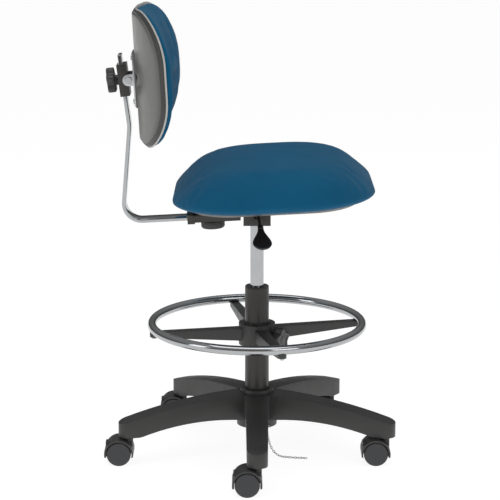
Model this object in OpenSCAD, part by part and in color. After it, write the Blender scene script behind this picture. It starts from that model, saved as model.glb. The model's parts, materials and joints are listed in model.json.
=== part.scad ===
// Drafting chair on a five-star base with twin-wheel casters, a foot ring and a flat-bar back.
// The chair faces -Y, +Z is up, and the origin is on the floor under the swivel axis.

/* [Seat] */
// Width of the seat cushion
seat_w = 460; // [400:5:500]
// Depth of the seat cushion
seat_d = 425; // [380:5:460]
// Height of the crown of the cushion above the mounting plate
seat_rise = 114; // [95:1:130]
// Backward slope of the seat, in degrees
seat_tilt = 3; // [0:0.5:5]
// How far the middle of the cushion is in front of the column
seat_forward = 36; // [20:1:50]
// Height of the seat mechanism above the floor
mech_z = 510; // [490:1:540]

/* [Backrest] */
// Width of the backrest
back_w = 390; // [330:5:420]
// Height of the backrest
back_h = 275; // [240:5:310]
// Radius of the backrest's curve round the sitter
back_r = 350; // [320:5:480]
// Depth of the rear shell's rim
shell_depth = 10; // [9:0.5:16]
// Thickness of the back cushion at its middle, measured from the pad face
back_thick = 62; // [50:1:70]
// Backward lean of the backrest at rest, in degrees
back_lean = 3; // [0:0.5:6]

/* [Back bar] */
// Width of the flat steel bar
bar_w = 40; // [34:1:44]
// Thickness of the flat steel bar
bar_t = 8; // [6:0.5:9]
// Distance from the column to the bar's lower corner
bar_run = 277; // [265:1:310]
// Length from the lower corner to the upper bend
bar_low = 198; // [180:1:230]
// Length from the upper bend to the top end
bar_top = 148; // [140:1:170]

/* [Column and foot ring] */
// Radius of the outer tube
tube_r = 25; // [24:0.5:27]
// Height of the top of the outer tube above the floor
tube_top = 355; // [330:1:380]
// Radius of the chrome gas cylinder
cylinder_r = 14; // [13:0.5:15]
// Outer radius of the foot ring
ring_outer = 228.5; // [200:0.5:240]
// Radius of the foot ring's steel tube
ring_tube_r = 9.5; // [8:0.5:11]
// Height of the foot ring's middle above the floor
ring_z = 276.5; // [262:0.5:280]

/* [Base and casters] */
// Distance from the column to each caster stem
stem_reach = 279; // [240:1:300]
// Half the width of an arm at its tip
tip_half_w = 21; // [18:0.5:24]
// Height of an arm at its tip
tip_h = 29; // [26:0.5:34]
// Rise of an arm from its tip to the hub
arm_rise = 44; // [36:1:52]
// Radius of a caster wheel
wheel_r = 25; // [22:0.5:28]
// Width of one wheel of a pair
wheel_w = 17; // [14:0.5:19]

/* [Hidden] */

// Fits and small repeated sizes
$fn = 96;
hull_fn = 32;      // facets on a hull's own rounds
slip = 0.05;       // radial clearance of a running fit
slide = 0.1;       // clearance each side of a flat sliding fit
air = 0.3;         // gap between bodies that must not touch
eps = 0.01;        // lets a cut run past a face
far = 600;         // longer than any cut needs

// Casters
arm_count = 5;
arm_step = 360 / arm_count;
first_arm = 180;
axle_z = wheel_r;
hood_gap = 1.5;
hood_wall = 3.5;
hood_inner = wheel_r + hood_gap;
hood_outer = hood_inner + hood_wall;
hood_drop = 14;                       // degrees that the hood reaches below the axle
web_w = 18;
wheel_gap = 0.6;
wheel_in = web_w / 2 + wheel_gap;     // inner face of a wheel, from the caster's middle
hood_w = 2 * (wheel_in + wheel_w);
trail = 20;                           // distance from the stem to the axle
axle_r = 4;
axle_half = wheel_in + wheel_w - 5;
stem_r = 5.5;
stem_bottom = axle_z - 2;
stem_collar_r = 8.5;
web_r = wheel_r - 5;
boss_r = web_w / 2;
tip_gap = 3;
tip_bottom = axle_z + hood_outer + tip_gap;
stem_top = tip_bottom + tip_h - 7;
hood_top = axle_z + hood_outer;

// Star base
tip_end = stem_reach + tip_half_w;
arm_top = tip_bottom + tip_h + arm_rise;
arm_top_r = (tip_end * tip_end + arm_rise * arm_rise) / (2 * arm_rise);
root_half_w = tip_half_w + 3;
arch_peak_x = 110;                    // where the underside is highest
arch_end_x = stem_reach - tip_half_w;
arch_h = 22;
arch_r = (pow(arch_end_x - arch_peak_x, 2) + arch_h * arch_h) / (2 * arch_h);
arm_wall = 4.5;
hub_r = tube_r + 17;
collar_r = tube_r + 11;
hub_bottom = tip_bottom + 1;
hub_shoulder = arm_top - 3;
hub_top = arm_top + 7;
// The arms start inside the hub, where they are still clear of each other
arm_start = 1.02 * root_half_w / tan(arm_step / 2);
pocket_start = hub_r + 4;
pocket_end = arch_end_x - 8;
rib_count = 4;
rib_t = 3;

// Column
tube_wall = 1.8;
tube_bottom = hub_bottom + 3;
taper_h = 48;
taper_in = 1;
bushing_lip = 2.5;
bushing_len = 70;
end_plate_t = 3;
spigot_r = 4;
race_t = 2.5;
race_in = 7;
race_out = tube_r - tube_wall - 4;
ball_r = 2;
ball_count = 12;
ball_track_r = 13;
race_z = tube_bottom + end_plate_t;
ball_z = race_z + race_t + ball_r;
washer_z = ball_z + ball_r + slip;
rod_z = washer_z + race_t;
rod_r = 5;
rod_top = rod_z + 255;
rod_bottom = tube_bottom - 7;
clip_t = 1.2;
head_t = 12;
cylinder_bottom = tube_top - 150;
cylinder_top = mech_z + 2;
cylinder_bore = 11;
cylinder_wall_end = 8;
cap_t = 17;
neck_h = 23;                          // length of the tapered top in the socket
neck_in = 0.6;

// Release pin and lever
pin_r = 4;
pin_bottom = cylinder_top - 14;
pin_top = cylinder_top + 5;
lever_r = 3.5;
lever_z = pin_top + air + lever_r;
lever_x = -20;                        // the lever's pivot
lever_bend_x = -28;
lever_inner_x = 4;
lever_droop = 15;
lever_yaw = 5;
lever_stem = 86;
paddle_droop = 12;
paddle_len = 74;
paddle_w = 39;
paddle_t = 8;
paddle_grip = 16;                     // how far the rod goes into the paddle
lever_pin_r = 2.5;
lug_t = 4;
lug_in = lever_r + 2;

// Seat plate, in the sloping frame of the seat
plate_half_w = 70;
plate_front = -93;
plate_rear = 143;
plate_low = 12;
plate_t = 4;
plate_top = plate_low + plate_t;
lip_h = 6;
lip_t = 3;
channel_half_w = bar_w / 2 + slide + 6;
channel_front = 34;
channel_low = -bar_t / 2 - 4;
block_w = 2 * channel_half_w + 8;
block_len = 15;
socket_half = 28;
socket_bottom = mech_z - 21;
bolt_x = 50;
bolt_front = plate_front + 15;
bolt_rear = plate_rear - 33;
bolt_r = 3;
bolt_head_r = 5.5;
bolt_head_t = 4;

// Board, pan and cushion of the seat, in the sloping frame
pan_t = 2.5;
pan_rim_z = plate_top + 28;
pan_flat_w = 230;
pan_flat_d = 330;
pan_rim_w = seat_w - 84;
pan_rim_d = seat_d - 50;
pan_corner = 90;
board_t = 12;
board_w = pan_flat_w - 16;
board_d = pan_flat_d - 16;
board_corner = 75;
board_low = plate_top + pan_t;
board_high = board_low + board_t;
tee_r = 9;
tee_t = 1.6;
tee_barrel_r = 4.4;
cushion_corner = 150;
cushion_top_z = plate_top + seat_rise;
// Height and inset of the cushion's outline, from its underside up to its crown
cushion_slices = [[pan_rim_z - 8, 32], [pan_rim_z + 6, 12], [pan_rim_z + 24, 0],
                  [cushion_top_z - 34, 14], [cushion_top_z - 14, 52], [cushion_top_z - 0.1, 100]];

// Depth knob under the channel
knob_y = 92;
depth_knob_r = 24.5;
depth_knob_h = 16;
depth_knob_top = channel_low - 1;
stud_r = 4;

// Back bar: a run in the seat's slope, a lower stretch leaning forward, an upper one leaning back
bar_end_y = 52;
bar_lean_low = 4.8;
bar_lean_top = 7.2;
bar_bend_low = 36;
bar_bend_top = 80;
run_dir = -seat_tilt;
low_dir = 90 + bar_lean_low;
top_dir = 90 - bar_lean_top;
function along(start, angle, length) = start + length * [cos(angle), sin(angle)];
bar_start = along([0, mech_z], run_dir, bar_end_y);
bar_corner = along([0, mech_z], run_dir, bar_run);
bar_knee = along(bar_corner, low_dir, bar_low);
bar_end = along(bar_knee, top_dir, bar_top);
bend_steps = 20;

// Sleeve and knob on the back bar, in the frame of its upper stretch
sleeve_up = 96;                       // height of the sleeve's middle above the upper bend
sleeve_half_h = 32.5;
sleeve_half_w = bar_w / 2 + slide + 6;
sleeve_front = bar_t / 2 + 7;
knuckle_r = 6;
sleeve_rear = bar_t / 2 + 4.5;
sleeve_boss_r = 10.5;
sleeve_boss_h = 6;
sleeve_centre = along(bar_knee, top_dir, sleeve_up);
pivot_offset = bar_t / 2 + 8.5;
pivot_at = [sleeve_centre[0] - pivot_offset * cos(bar_lean_top),
            sleeve_centre[1] + pivot_offset * sin(bar_lean_top)];
star_knob_r = 20;
star_lobe_r = 9;
star_knob_t = 17;
back_knob_y = sleeve_rear + sleeve_boss_h + 1;

// Backrest, in its own leaning frame: the origin is on the pad that the bracket is screwed to
pivot_y = 12.3;
pivot_z = -8;
pivot_r = 3.5;
ear_gap = sleeve_half_w + 0.5;
ear_t = 3;
ear_h = 24;
bracket_t = 3;
bracket_h = 110;
bracket_w = 2 * (ear_gap + ear_t);
pad_t = 1.5;
pad_margin = 3;
shell_wall = 3.5;
shell_axis_y = -pad_t - back_r;
back_corner = 105;
back_board_t = shell_depth - shell_wall - air;
front_r = back_r + 100;
screw_x = 20;
screw_z = bracket_h / 2 - 10;
screw_r = 2.5;
screw_head_r = 5.5;
screw_head_t = 2.6;
screw_len = 14;

// Foot ring
ring_r = ring_outer - ring_tube_r;
ring_wall = 1.5;
ring_turn = 13;                       // the spider is turned this far round the column
bush_wall = 3;
bush_low = ring_z - 46;
bush_high = ring_z + 4;
bush_lip = 2.5;
bush_r = tube_r + slip + bush_wall;
spider_r = bush_r + 10;
spider_low = bush_low + bush_lip;
spider_high = bush_high - bush_lip;
spoke_high = ring_z - ring_tube_r + 4;
spoke_root_h = 28;
spoke_tip_h = 11;
spoke_half_w = 9;
spoke_root_half_w = 13;
spoke_end = ring_r + 8;
ring_screw_r = 2.5;
ring_screw_head_r = 4.5;
ring_screw_head_t = 3;
ring_knob_turn = ring_turn + 225;
ring_knob_z = ring_z - 28;
ring_knob_at = spider_r + 10;

// Drag chain: its route in millimetres, from the clip under the hub to its last link on the floor
chain_r = 2.5;
chain_sides = 8;
chain_points = [
    [-58, -21, 71], [-58, -21, 66], [-58, -21.5, 60], [-58, -22, 54], [-58, -23, 48],
    [-58, -24, 42], [-58, -25.5, 36], [-58, -27, 30], [-58, -29.5, 24], [-58, -32.5, 18],
    [-58, -36.5, 12.5], [-58, -41.5, 8], [-58, -47, 5], [-58.5, -53, 3.3], [-59.5, -59, 2.8],
    [-61, -65, 2.8], [-62.5, -71, 2.8], [-64, -77, 2.8], [-65, -83, 2.8], [-65.5, -89, 2.8],
    [-66, -95, 2.8], [-67, -101, 2.8]];
chain_clip_x = -58;
chain_clip_y = -21;
chain_clip_w = 10;
chain_clip_low = 71;
chain_clip_t = 1.5;
chain_clip_top = 77.1;                // just under the arch of the arm above it

// Colours
nylon = [0.19, 0.19, 0.19];
steel_black = [0.16, 0.15, 0.15];
chrome = [0.78, 0.79, 0.81];
zinc = [0.62, 0.63, 0.65];
fabric = [0.09, 0.36, 0.58];
shell_grey = [0.38, 0.38, 0.37];
wheel_black = [0.14, 0.14, 0.15];
acetal = [0.85, 0.85, 0.82];
birch = [0.78, 0.64, 0.45];

// ---- Helpers ----

module ring(inner, outer, height) {
    difference() {
        cylinder(r = outer, h = height);
        translate([0, 0, -eps]) cylinder(r = inner, h = height + 2 * eps);
    }
}

// A rectangle with round corners, centred on the origin
module round_rect(w, d, r) {
    square([w - 2 * r, d], center = true);
    square([w, d - 2 * r], center = true);
    for (sx = [-1, 1]) {
        for (sy = [-1, 1]) {
            translate([sx * (w / 2 - r), sy * (d / 2 - r)]) circle(r = r);
        }
    }
}

// Stands an outline drawn as (y, z) upright and gives it a width along X
module side_extrude(w) {
    rotate([90, 0, 90]) linear_extrude(w, center = true) children();
}

// Stands an outline drawn as (x, z) upright, reaching from y = 0 forward to y = -depth
module front_extrude(depth) {
    rotate([90, 0, 0]) linear_extrude(depth) children();
}

// The sloping frame of the seat
module seat_frame() {
    translate([0, 0, mech_z]) rotate([-seat_tilt, 0, 0]) children();
}

// The frame of the bar's upper stretch, at the sleeve's middle
module sleeve_frame() {
    translate([0, sleeve_centre[0], sleeve_centre[1]]) rotate([-bar_lean_top, 0, 0]) children();
}

// The leaning frame of the backrest
module back_frame() {
    translate([0, pivot_at[0], pivot_at[1]]) rotate([-back_lean, 0, 0])
        translate([0, -pivot_y, -pivot_z]) children();
}

module at_arm(n) {
    rotate([0, 0, first_arm + (n - 1) * arm_step]) children();
}

// A caster keeps its own heading: its axle lies along X and trails towards +Y
module at_caster(n) {
    angle = first_arm + (n - 1) * arm_step;
    translate([stem_reach * cos(angle), stem_reach * sin(angle), 0]) children();
}

module at_bolts() {
    for (x = [-bolt_x, bolt_x]) {
        for (y = [bolt_front, bolt_rear]) {
            translate([x, y, 0]) children();
        }
    }
}

module at_back_screws() {
    for (x = [-screw_x, screw_x]) {
        for (z = [-screw_z, screw_z]) {
            translate([x, 0, pivot_z + z]) rotate([90, 0, 0]) children();
        }
    }
}

// A five-lobed knob lying on z = 0
module star_knob() {
    difference() {
        linear_extrude(star_knob_t) {
            circle(r = star_knob_r);
            for (n = [0:4]) {
                rotate(n * 72) translate([star_knob_r - 2, 0]) circle(r = star_lobe_r);
            }
        }
        translate([0, 0, star_knob_t - 2]) cylinder(r = star_knob_r - 4, h = 3);
    }
    cylinder(r = 8, h = star_knob_t - 0.5);
}

// ---- Base ----

// The side of an arm, drawn as (x, z): a long arc above, an arch below and a flat foot at the tip
module arm_side() {
    intersection() {
        translate([0, arm_top - arm_top_r]) circle(r = arm_top_r, $fn = 360);
        union() {
            difference() {
                translate([0, hub_bottom]) square([arch_end_x, arm_top]);
                translate([arch_peak_x, tip_bottom + arch_h - arch_r]) circle(r = arch_r, $fn = 360);
            }
            translate([arch_end_x - eps, tip_bottom]) square([2 * tip_half_w + 2, arm_top]);
        }
    }
}

module arm_plan(inset) {
    polygon([[arm_start, -root_half_w + inset], [stem_reach, -tip_half_w + inset],
             [stem_reach, tip_half_w - inset], [arm_start, root_half_w - inset]]);
}

module arm_solid() {
    intersection() {
        linear_extrude(far) {
            arm_plan(0);
            translate([stem_reach, 0]) circle(r = tip_half_w);
        }
        rotate([90, 0, 0]) linear_extrude(far, center = true) arm_side();
    }
}

module arm_pocket() {
    cell = (pocket_end - pocket_start) / rib_count;
    intersection() {
        translate([0, 0, tip_bottom - arm_wall]) linear_extrude(far) arm_plan(arm_wall);
        rotate([90, 0, 0]) linear_extrude(far, center = true)
            intersection() {
                translate([0, arm_top - arm_top_r - arm_wall]) circle(r = arm_top_r, $fn = 360);
                for (n = [0:rib_count - 1]) {
                    translate([pocket_start + n * cell, 0]) square([cell - rib_t, far]);
                }
            }
    }
}

module star_base() color(nylon) {
    difference() {
        union() {
            translate([0, 0, hub_bottom]) cylinder(r = hub_r, h = hub_shoulder - hub_bottom);
            translate([0, 0, hub_bottom]) cylinder(r = collar_r, h = hub_top - hub_bottom);
            for (n = [1:arm_count]) at_arm(n) arm_solid();
        }
        for (n = [1:arm_count]) {
            at_arm(n) {
                arm_pocket();
                translate([stem_reach, 0, tip_bottom - eps])
                    cylinder(r = stem_r + slip, h = stem_top - tip_bottom + 1);
            }
        }
        translate([0, 0, tube_bottom]) tube_outside(slip);
        translate([0, 0, hub_bottom - eps])
            cylinder(r = tube_r - taper_in - 2, h = tube_bottom - hub_bottom + 2 * eps);
    }
}

module tube_outside(gap) {
    cylinder(r1 = tube_r - taper_in + gap, r2 = tube_r + gap, h = taper_h);
    translate([0, 0, taper_h]) cylinder(r = tube_r + gap, h = tube_top - tube_bottom - taper_h);
}

module caster_stems() color(zinc) {
    for (n = [1:arm_count]) {
        at_caster(n) {
            translate([0, 0, stem_bottom]) cylinder(r = stem_r, h = stem_top - stem_bottom);
            translate([0, 0, hood_top + 1]) cylinder(r = stem_collar_r, h = tip_gap - 1);
        }
    }
}

module column_tube() color(steel_black) {
    difference() {
        translate([0, 0, tube_bottom]) tube_outside(0);
        translate([0, 0, race_z]) cylinder(r = tube_r - taper_in - tube_wall, h = far);
        translate([0, 0, tube_bottom - eps]) cylinder(r = spigot_r + slip, h = far);
        translate([0, 0, tube_top - bushing_len])
            cylinder(r = tube_r - tube_wall + eps, h = far);
    }
}

module column_bushing() color(steel_black) {
    difference() {
        union() {
            translate([0, 0, tube_top - bushing_len])
                cylinder(r = tube_r - tube_wall, h = bushing_len);
            translate([0, 0, tube_top]) cylinder(r = tube_r - 0.5, h = bushing_lip);
        }
        translate([0, 0, tube_top - bushing_len - eps])
            cylinder(r = cylinder_r + slip, h = bushing_len + bushing_lip + 2 * eps);
    }
}

module bearing_race() color(zinc) {
    translate([0, 0, race_z]) ring(race_in, race_out, race_t);
}

module thrust_balls() color(zinc) {
    for (n = [1:ball_count]) {
        rotate([0, 0, n * 360 / ball_count]) translate([ball_track_r, 0, ball_z])
            sphere(r = ball_r, $fn = 24);
    }
}

module chain_clip() color(zinc) {
    translate([chain_clip_x, chain_clip_y, 0]) {
        translate([-chain_clip_w / 2, -chain_clip_w / 2, chain_clip_low])
            cube([chain_clip_w, chain_clip_w, chain_clip_t]);
        translate([0, 0, chain_clip_low]) cylinder(r = 2, h = chain_clip_top - chain_clip_low);
    }
}

// Directions along the chain's route, and rings of points round it
function unit(v) = v / norm(v);
function chain_dir(i) = unit(chain_points[min(i + 1, len(chain_points) - 1)]
                             - chain_points[max(i - 1, 0)]);
function chain_side(i) = unit(cross(chain_dir(i), [1, 0, 0]));
function chain_ring(i) = [for (k = [0:chain_sides - 1])
    let (a = k * 360 / chain_sides, s = chain_side(i), t = cross(chain_dir(i), s))
    chain_points[i] + chain_r * (cos(a) * s + sin(a) * t)];

module drag_chain() color(zinc) {
    count = len(chain_points);
    rings = [for (i = [0:count - 1]) each chain_ring(i)];
    sides = [for (i = [0:count - 2]) for (k = [0:chain_sides - 1])
        let (m = (k + 1) % chain_sides)
        [i * chain_sides + k, (i + 1) * chain_sides + k,
         (i + 1) * chain_sides + m, i * chain_sides + m]];
    first = [for (k = [0:chain_sides - 1]) k];
    last = [for (k = [chain_sides - 1:-1:0]) (count - 1) * chain_sides + k];
    polyhedron(points = rings, faces = concat(sides, [first], [last]));
}

// ---- Casters ----

module caster_hood(n) color(nylon) at_caster(n) {
    difference() {
        union() {
            translate([0, trail, axle_z]) rotate([0, 90, 0]) difference() {
                cylinder(r = hood_outer, h = hood_w, center = true);
                cylinder(r = hood_inner, h = hood_w + 2 * eps, center = true);
            }
            translate([0, trail, axle_z]) rotate([0, 90, 0])
                cylinder(r = web_r, h = web_w, center = true);
            translate([-web_w / 2, trail - hood_inner - 1, axle_z])
                cube([web_w, 2 * hood_inner + 2, hood_inner - 4]);
            translate([0, 0, axle_z]) cylinder(r = boss_r, h = hood_top - axle_z);
        }
        translate([0, 0, stem_bottom - 1]) cylinder(r = stem_r + slip, h = far);
        translate([0, trail, axle_z]) rotate([0, 90, 0])
            cylinder(r = axle_r + slip, h = far, center = true);
        hood_mouth();
    }
}

// The space under the hood's lower edges, cleared round the web
module hood_mouth() {
    low = axle_z - hood_inner * sin(hood_drop);
    for (side = [-1, 1]) {
        translate([side * (web_w / 2 + far / 2), trail, low - far / 2])
            cube([far, far, far], center = true);
    }
    difference() {
        translate([0, trail, low - far / 2]) cube([web_w + 2 * eps, far, far], center = true);
        translate([0, trail, axle_z]) rotate([0, 90, 0])
            cylinder(r = web_r, h = far, center = true);
    }
}

module caster_axle(n) color(zinc) at_caster(n) {
    translate([0, trail, axle_z]) rotate([0, 90, 0])
        cylinder(r = axle_r, h = 2 * axle_half, center = true);
}

module wheel(n, side) color(wheel_black) at_caster(n) {
    translate([side * wheel_in, trail, axle_z]) rotate([0, side * 90, 0]) difference() {
        rotate_extrude() {
            translate([0, 1]) square([wheel_r, wheel_w - 3.5]);
            square([wheel_r - 1, wheel_w - 2.5]);
            translate([wheel_r - 2.5, wheel_w - 2.5]) circle(r = 2.5);
            square([wheel_r - 2.5, wheel_w]);
        }
        translate([0, 0, -eps]) cylinder(r = axle_r + slip, h = axle_half - wheel_in + 1);
    }
}

// ---- Column insides ----

module piston_rod() color(chrome) {
    translate([0, 0, rod_bottom]) cylinder(r = spigot_r, h = rod_z - rod_bottom + eps);
    translate([0, 0, rod_z]) cylinder(r = rod_r, h = rod_top - rod_z);
    translate([0, 0, rod_top - head_t]) cylinder(r = cylinder_bore - slip, h = head_t);
}

module bearing_washer() color(zinc) {
    translate([0, 0, washer_z]) ring(spigot_r + slip, race_out, race_t);
}

module rod_clip() color(zinc) {
    translate([0, 0, tube_bottom - clip_t - slip]) ring(spigot_r, 2 * spigot_r, clip_t);
}

module gas_cylinder() color(chrome) {
    difference() {
        union() {
            translate([0, 0, cylinder_bottom])
                cylinder(r = cylinder_r, h = cylinder_top - neck_h - cylinder_bottom);
            translate([0, 0, cylinder_top - neck_h])
                cylinder(r1 = cylinder_r, r2 = cylinder_r - neck_in, h = neck_h);
        }
        translate([0, 0, cylinder_bottom + cylinder_wall_end])
            cylinder(r = cylinder_bore, h = cylinder_top - cap_t - cylinder_bottom - cylinder_wall_end);
        translate([0, 0, cylinder_bottom - eps]) cylinder(r = rod_r + slip, h = 20);
        translate([0, 0, cylinder_top - cap_t - eps]) cylinder(r = pin_r + slip, h = far);
    }
}

module release_pin() color(zinc) {
    translate([0, 0, pin_bottom]) cylinder(r = pin_r, h = pin_top - pin_bottom);
}

// ---- Seat mechanism ----

module plate_outline() {
    translate([0, (plate_front + plate_rear) / 2])
        round_rect(2 * plate_half_w, plate_rear - plate_front, 12);
}

module flange_plate() {
    translate([0, 0, plate_low]) linear_extrude(plate_t) plate_outline();
    for (side = [-1, 1]) {
        translate([side * (plate_half_w - lip_t / 2), (plate_front + plate_rear) / 2, plate_top - lip_h / 2])
            cube([lip_t, plate_rear - plate_front - 24, lip_h], center = true);
    }
}

module bar_channel() {
    translate([-channel_half_w, channel_front, channel_low])
        cube([2 * channel_half_w, plate_rear - channel_front, plate_low - channel_low]);
    translate([-block_w / 2, plate_rear - block_len, channel_low - 2])
        cube([block_w, block_len, plate_low - channel_low + 2]);
}

module socket_box() {
    translate([-socket_half, -socket_half, socket_bottom])
        cube([2 * socket_half, 2 * socket_half, mech_z + plate_low - socket_bottom]);
}

module seat_plate() color(steel_black) {
    difference() {
        union() {
            seat_frame() {
                flange_plate();
                bar_channel();
            }
            socket_box();
        }
        seat_frame() {
            translate([-bar_w / 2 - slide, channel_front - 1, -bar_t / 2 - slide])
                cube([bar_w + 2 * slide, far, bar_t + 2 * slide]);
            translate([0, knob_y, channel_low - 3])
                cylinder(r = stud_r + slip, h = 3 - channel_low - bar_t / 2);
            at_bolts() translate([0, 0, plate_low - eps]) cylinder(r = bolt_r + slip, h = 2 * plate_t);
        }
        translate([0, 0, cylinder_top - neck_h]) cylinder(r1 = cylinder_r + slip,
            r2 = cylinder_r - neck_in + slip, h = neck_h + eps);
        lever_window();
        lever_pin_shape(slip);
    }
}

// The gap in the plate and the socket box that the release lever works in
module lever_window() {
    translate([-plate_half_w + 8, -lug_in, cylinder_top])
        cube([plate_half_w + 2, 2 * lug_in, far]);
    translate([-plate_half_w + 8, -lug_in - 4, mech_z - 10])
        cube([plate_half_w - 8 - socket_half, 2 * lug_in + 8, far]);
    translate([-socket_half - 1, -lug_in, mech_z - 6]) cube([10, 2 * lug_in, far]);
    translate([lever_x, 0, cylinder_top]) translate([lug_in + 10, -pin_r - 2, 0])
        cube([2 * pin_r + 2, 2 * pin_r + 4, far]);
}

module lever_pin_shape(gap) {
    translate([lever_x, 0, lever_z]) rotate([90, 0, 0])
        cylinder(r = lever_pin_r + gap, h = 2 * (lug_in + lug_t), center = true);
}

module lever_pin() color(zinc) {
    lever_pin_shape(0);
}

module lever_outer() {
    translate([lever_bend_x, 0, lever_z]) rotate([0, 0, lever_yaw]) rotate([0, -90 - lever_droop, 0])
        children();
}

module lever_rod() color(steel_black) {
    difference() {
        union() {
            translate([lever_bend_x, 0, lever_z]) rotate([0, 90, 0])
                cylinder(r = lever_r, h = lever_inner_x - lever_bend_x);
            translate([lever_bend_x, 0, lever_z]) rotate([90, 0, 0])
                cylinder(r = lever_r + 0.6, h = 2 * lever_r + 1.5, center = true);
            translate([lever_x, 0, lever_z])
                cube([2 * lever_pin_r + 5, 2 * lever_r + 1.5, 2 * lever_pin_r + 3.6], center = true);
            lever_outer() cylinder(r = lever_r, h = lever_stem);
        }
        lever_pin_shape(slip);
    }
}

module paddle_outline() {
    round_r = paddle_w / 2;
    translate([paddle_len - round_r, 0]) circle(r = round_r);
    polygon([[0, -5], [paddle_len - round_r, -round_r], [paddle_len - round_r, round_r], [0, 5]]);
}

module lever_paddle() color(steel_black) {
    difference() {
        lever_outer() translate([0, 0, lever_stem - paddle_grip]) rotate([0, -90, 0])
            rotate([0, -paddle_droop, 0]) linear_extrude(paddle_t, center = true) paddle_outline();
        lever_outer() cylinder(r = lever_r, h = lever_stem);
    }
}

module depth_knob() color(nylon) {
    seat_frame() translate([0, knob_y, 0]) {
        translate([0, 0, depth_knob_top - depth_knob_h]) cylinder(r = depth_knob_r, h = depth_knob_h);
        translate([0, 0, depth_knob_top - eps])
            cylinder(r = stud_r, h = -bar_t / 2 - slide - depth_knob_top);
    }
}

// ---- Seat ----

module seat_outline_at(z, w, d, r, fn) {
    translate([0, -seat_forward, z]) linear_extrude(0.1) round_rect(w, d, r, $fn = fn);
}

// The dished solid between the flat middle of the pan and its raised rim, grown by a wall
module pan_dish(grow) {
    hull() {
        seat_outline_at(plate_top + pan_t - grow, pan_flat_w + 2 * grow, pan_flat_d + 2 * grow,
            pan_corner, hull_fn * 2);
        seat_outline_at(pan_rim_z - 0.1, pan_rim_w + 2 * grow, pan_rim_d + 2 * grow,
            pan_corner, hull_fn * 2);
    }
}

module seat_pan() color(nylon) {
    seat_frame() difference() {
        pan_dish(pan_t);
        pan_dish(0);
        translate([0, 0, pan_rim_z - eps]) linear_extrude(far) square(far * 2, center = true);
        at_bolts() cylinder(r = bolt_r + slip, h = far);
    }
}

module seat_board() color(birch) {
    seat_frame() difference() {
        translate([0, -seat_forward, board_low]) linear_extrude(board_t)
            round_rect(board_w, board_d, board_corner);
        at_bolts() {
            cylinder(r = tee_barrel_r, h = far);
            translate([0, 0, board_high - tee_t]) cylinder(r = tee_r, h = far);
        }
    }
}

module tee_nuts() color(zinc) {
    seat_frame() at_bolts() difference() {
        union() {
            translate([0, 0, board_low + 2]) cylinder(r = tee_barrel_r, h = board_t - 2 - tee_t);
            translate([0, 0, board_high - tee_t]) cylinder(r = tee_r, h = tee_t);
        }
        cylinder(r = bolt_r + slip, h = far);
    }
}

module seat_bolts() color(zinc) {
    seat_frame() at_bolts() {
        translate([0, 0, plate_low - bolt_head_t]) cylinder(r = bolt_head_r, h = bolt_head_t, $fn = 6);
        translate([0, 0, plate_low - eps]) cylinder(r = bolt_r, h = board_high - plate_low - tee_t);
    }
}

module seat_cushion() color(fabric) {
    seat_frame() difference() {
        hull() {
            for (k = [0:len(cushion_slices) - 1]) {
                height = cushion_slices[k][0];
                inset = cushion_slices[k][1];
                seat_outline_at(height, seat_w - 2 * inset, seat_d - 2 * inset,
                    cushion_corner - inset / 2, hull_fn);
            }
        }
        pan_dish(pan_t + air);
    }
    seat_frame() difference() {
        pan_dish(-air);
        translate([0, -seat_forward, 0]) linear_extrude(board_high + air)
            round_rect(board_w + 2 * air, board_d + 2 * air, board_corner);
    }
}

// ---- Back bar ----

// The centre and points of a bend, at a distance to the left of the bar's middle line
function left_of(angle) = [-sin(angle), cos(angle)];
function bend_points(corner, dir_in, dir_out, radius, shift) =
    let (side = sign(dir_out - dir_in),
         trim = radius * tan(abs(dir_out - dir_in) / 2),
         centre = along(corner, dir_in, -trim) + side * radius * left_of(dir_in))
    [for (k = [0:bend_steps])
        let (heading = dir_in + (dir_out - dir_in) * k / bend_steps)
        centre + (shift - side * radius) * left_of(heading)];

function bar_edge(shift) = concat(
    [bar_start + shift * left_of(run_dir)],
    bend_points(bar_corner, run_dir, low_dir, bar_bend_low, shift),
    bend_points(bar_knee, low_dir, top_dir, bar_bend_top, shift),
    [bar_end + shift * left_of(top_dir)]);

function reversed(list) = [for (k = [len(list) - 1:-1:0]) list[k]];

module j_bar() color(chrome) {
    side_extrude(bar_w) polygon(concat(bar_edge(-bar_t / 2), reversed(bar_edge(bar_t / 2))));
}

module back_sleeve() color(steel_black) {
    sleeve_frame() difference() {
        union() {
            translate([-sleeve_half_w, -sleeve_front, -sleeve_half_h])
                cube([2 * sleeve_half_w, sleeve_front + sleeve_rear, 2 * sleeve_half_h]);
            translate([0, sleeve_rear, 0]) rotate([-90, 0, 0])
                cylinder(r = sleeve_boss_r, h = sleeve_boss_h);
            translate([0, -pivot_offset, 0]) rotate([0, 90, 0])
                cylinder(r = knuckle_r, h = 2 * sleeve_half_w, center = true);
        }
        translate([-bar_w / 2 - slide, -bar_t / 2 - slide, -far / 2])
            cube([bar_w + 2 * slide, bar_t + 2 * slide, far]);
        rotate([-90, 0, 0]) cylinder(r = stud_r + slip, h = far);
        translate([0, -pivot_offset, 0]) rotate([0, 90, 0])
            cylinder(r = pivot_r + slip, h = far, center = true);
    }
}

module back_knob() color(nylon) {
    sleeve_frame() {
        translate([0, back_knob_y, 0]) rotate([-90, 0, 0]) star_knob();
        translate([0, bar_t / 2 + slide, 0]) rotate([-90, 0, 0])
            cylinder(r = stud_r, h = back_knob_y - bar_t / 2 - slide + eps);
    }
}

// ---- Backrest ----

module back_outline(inset) {
    round_rect(back_w - 2 * inset, back_h - 2 * inset, back_corner - inset);
}

// A tall cylinder about the backrest's axis of curvature
module back_curve(radius) {
    translate([0, shell_axis_y, -far / 2]) cylinder(r = radius, h = far, $fn = 360);
}

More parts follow.
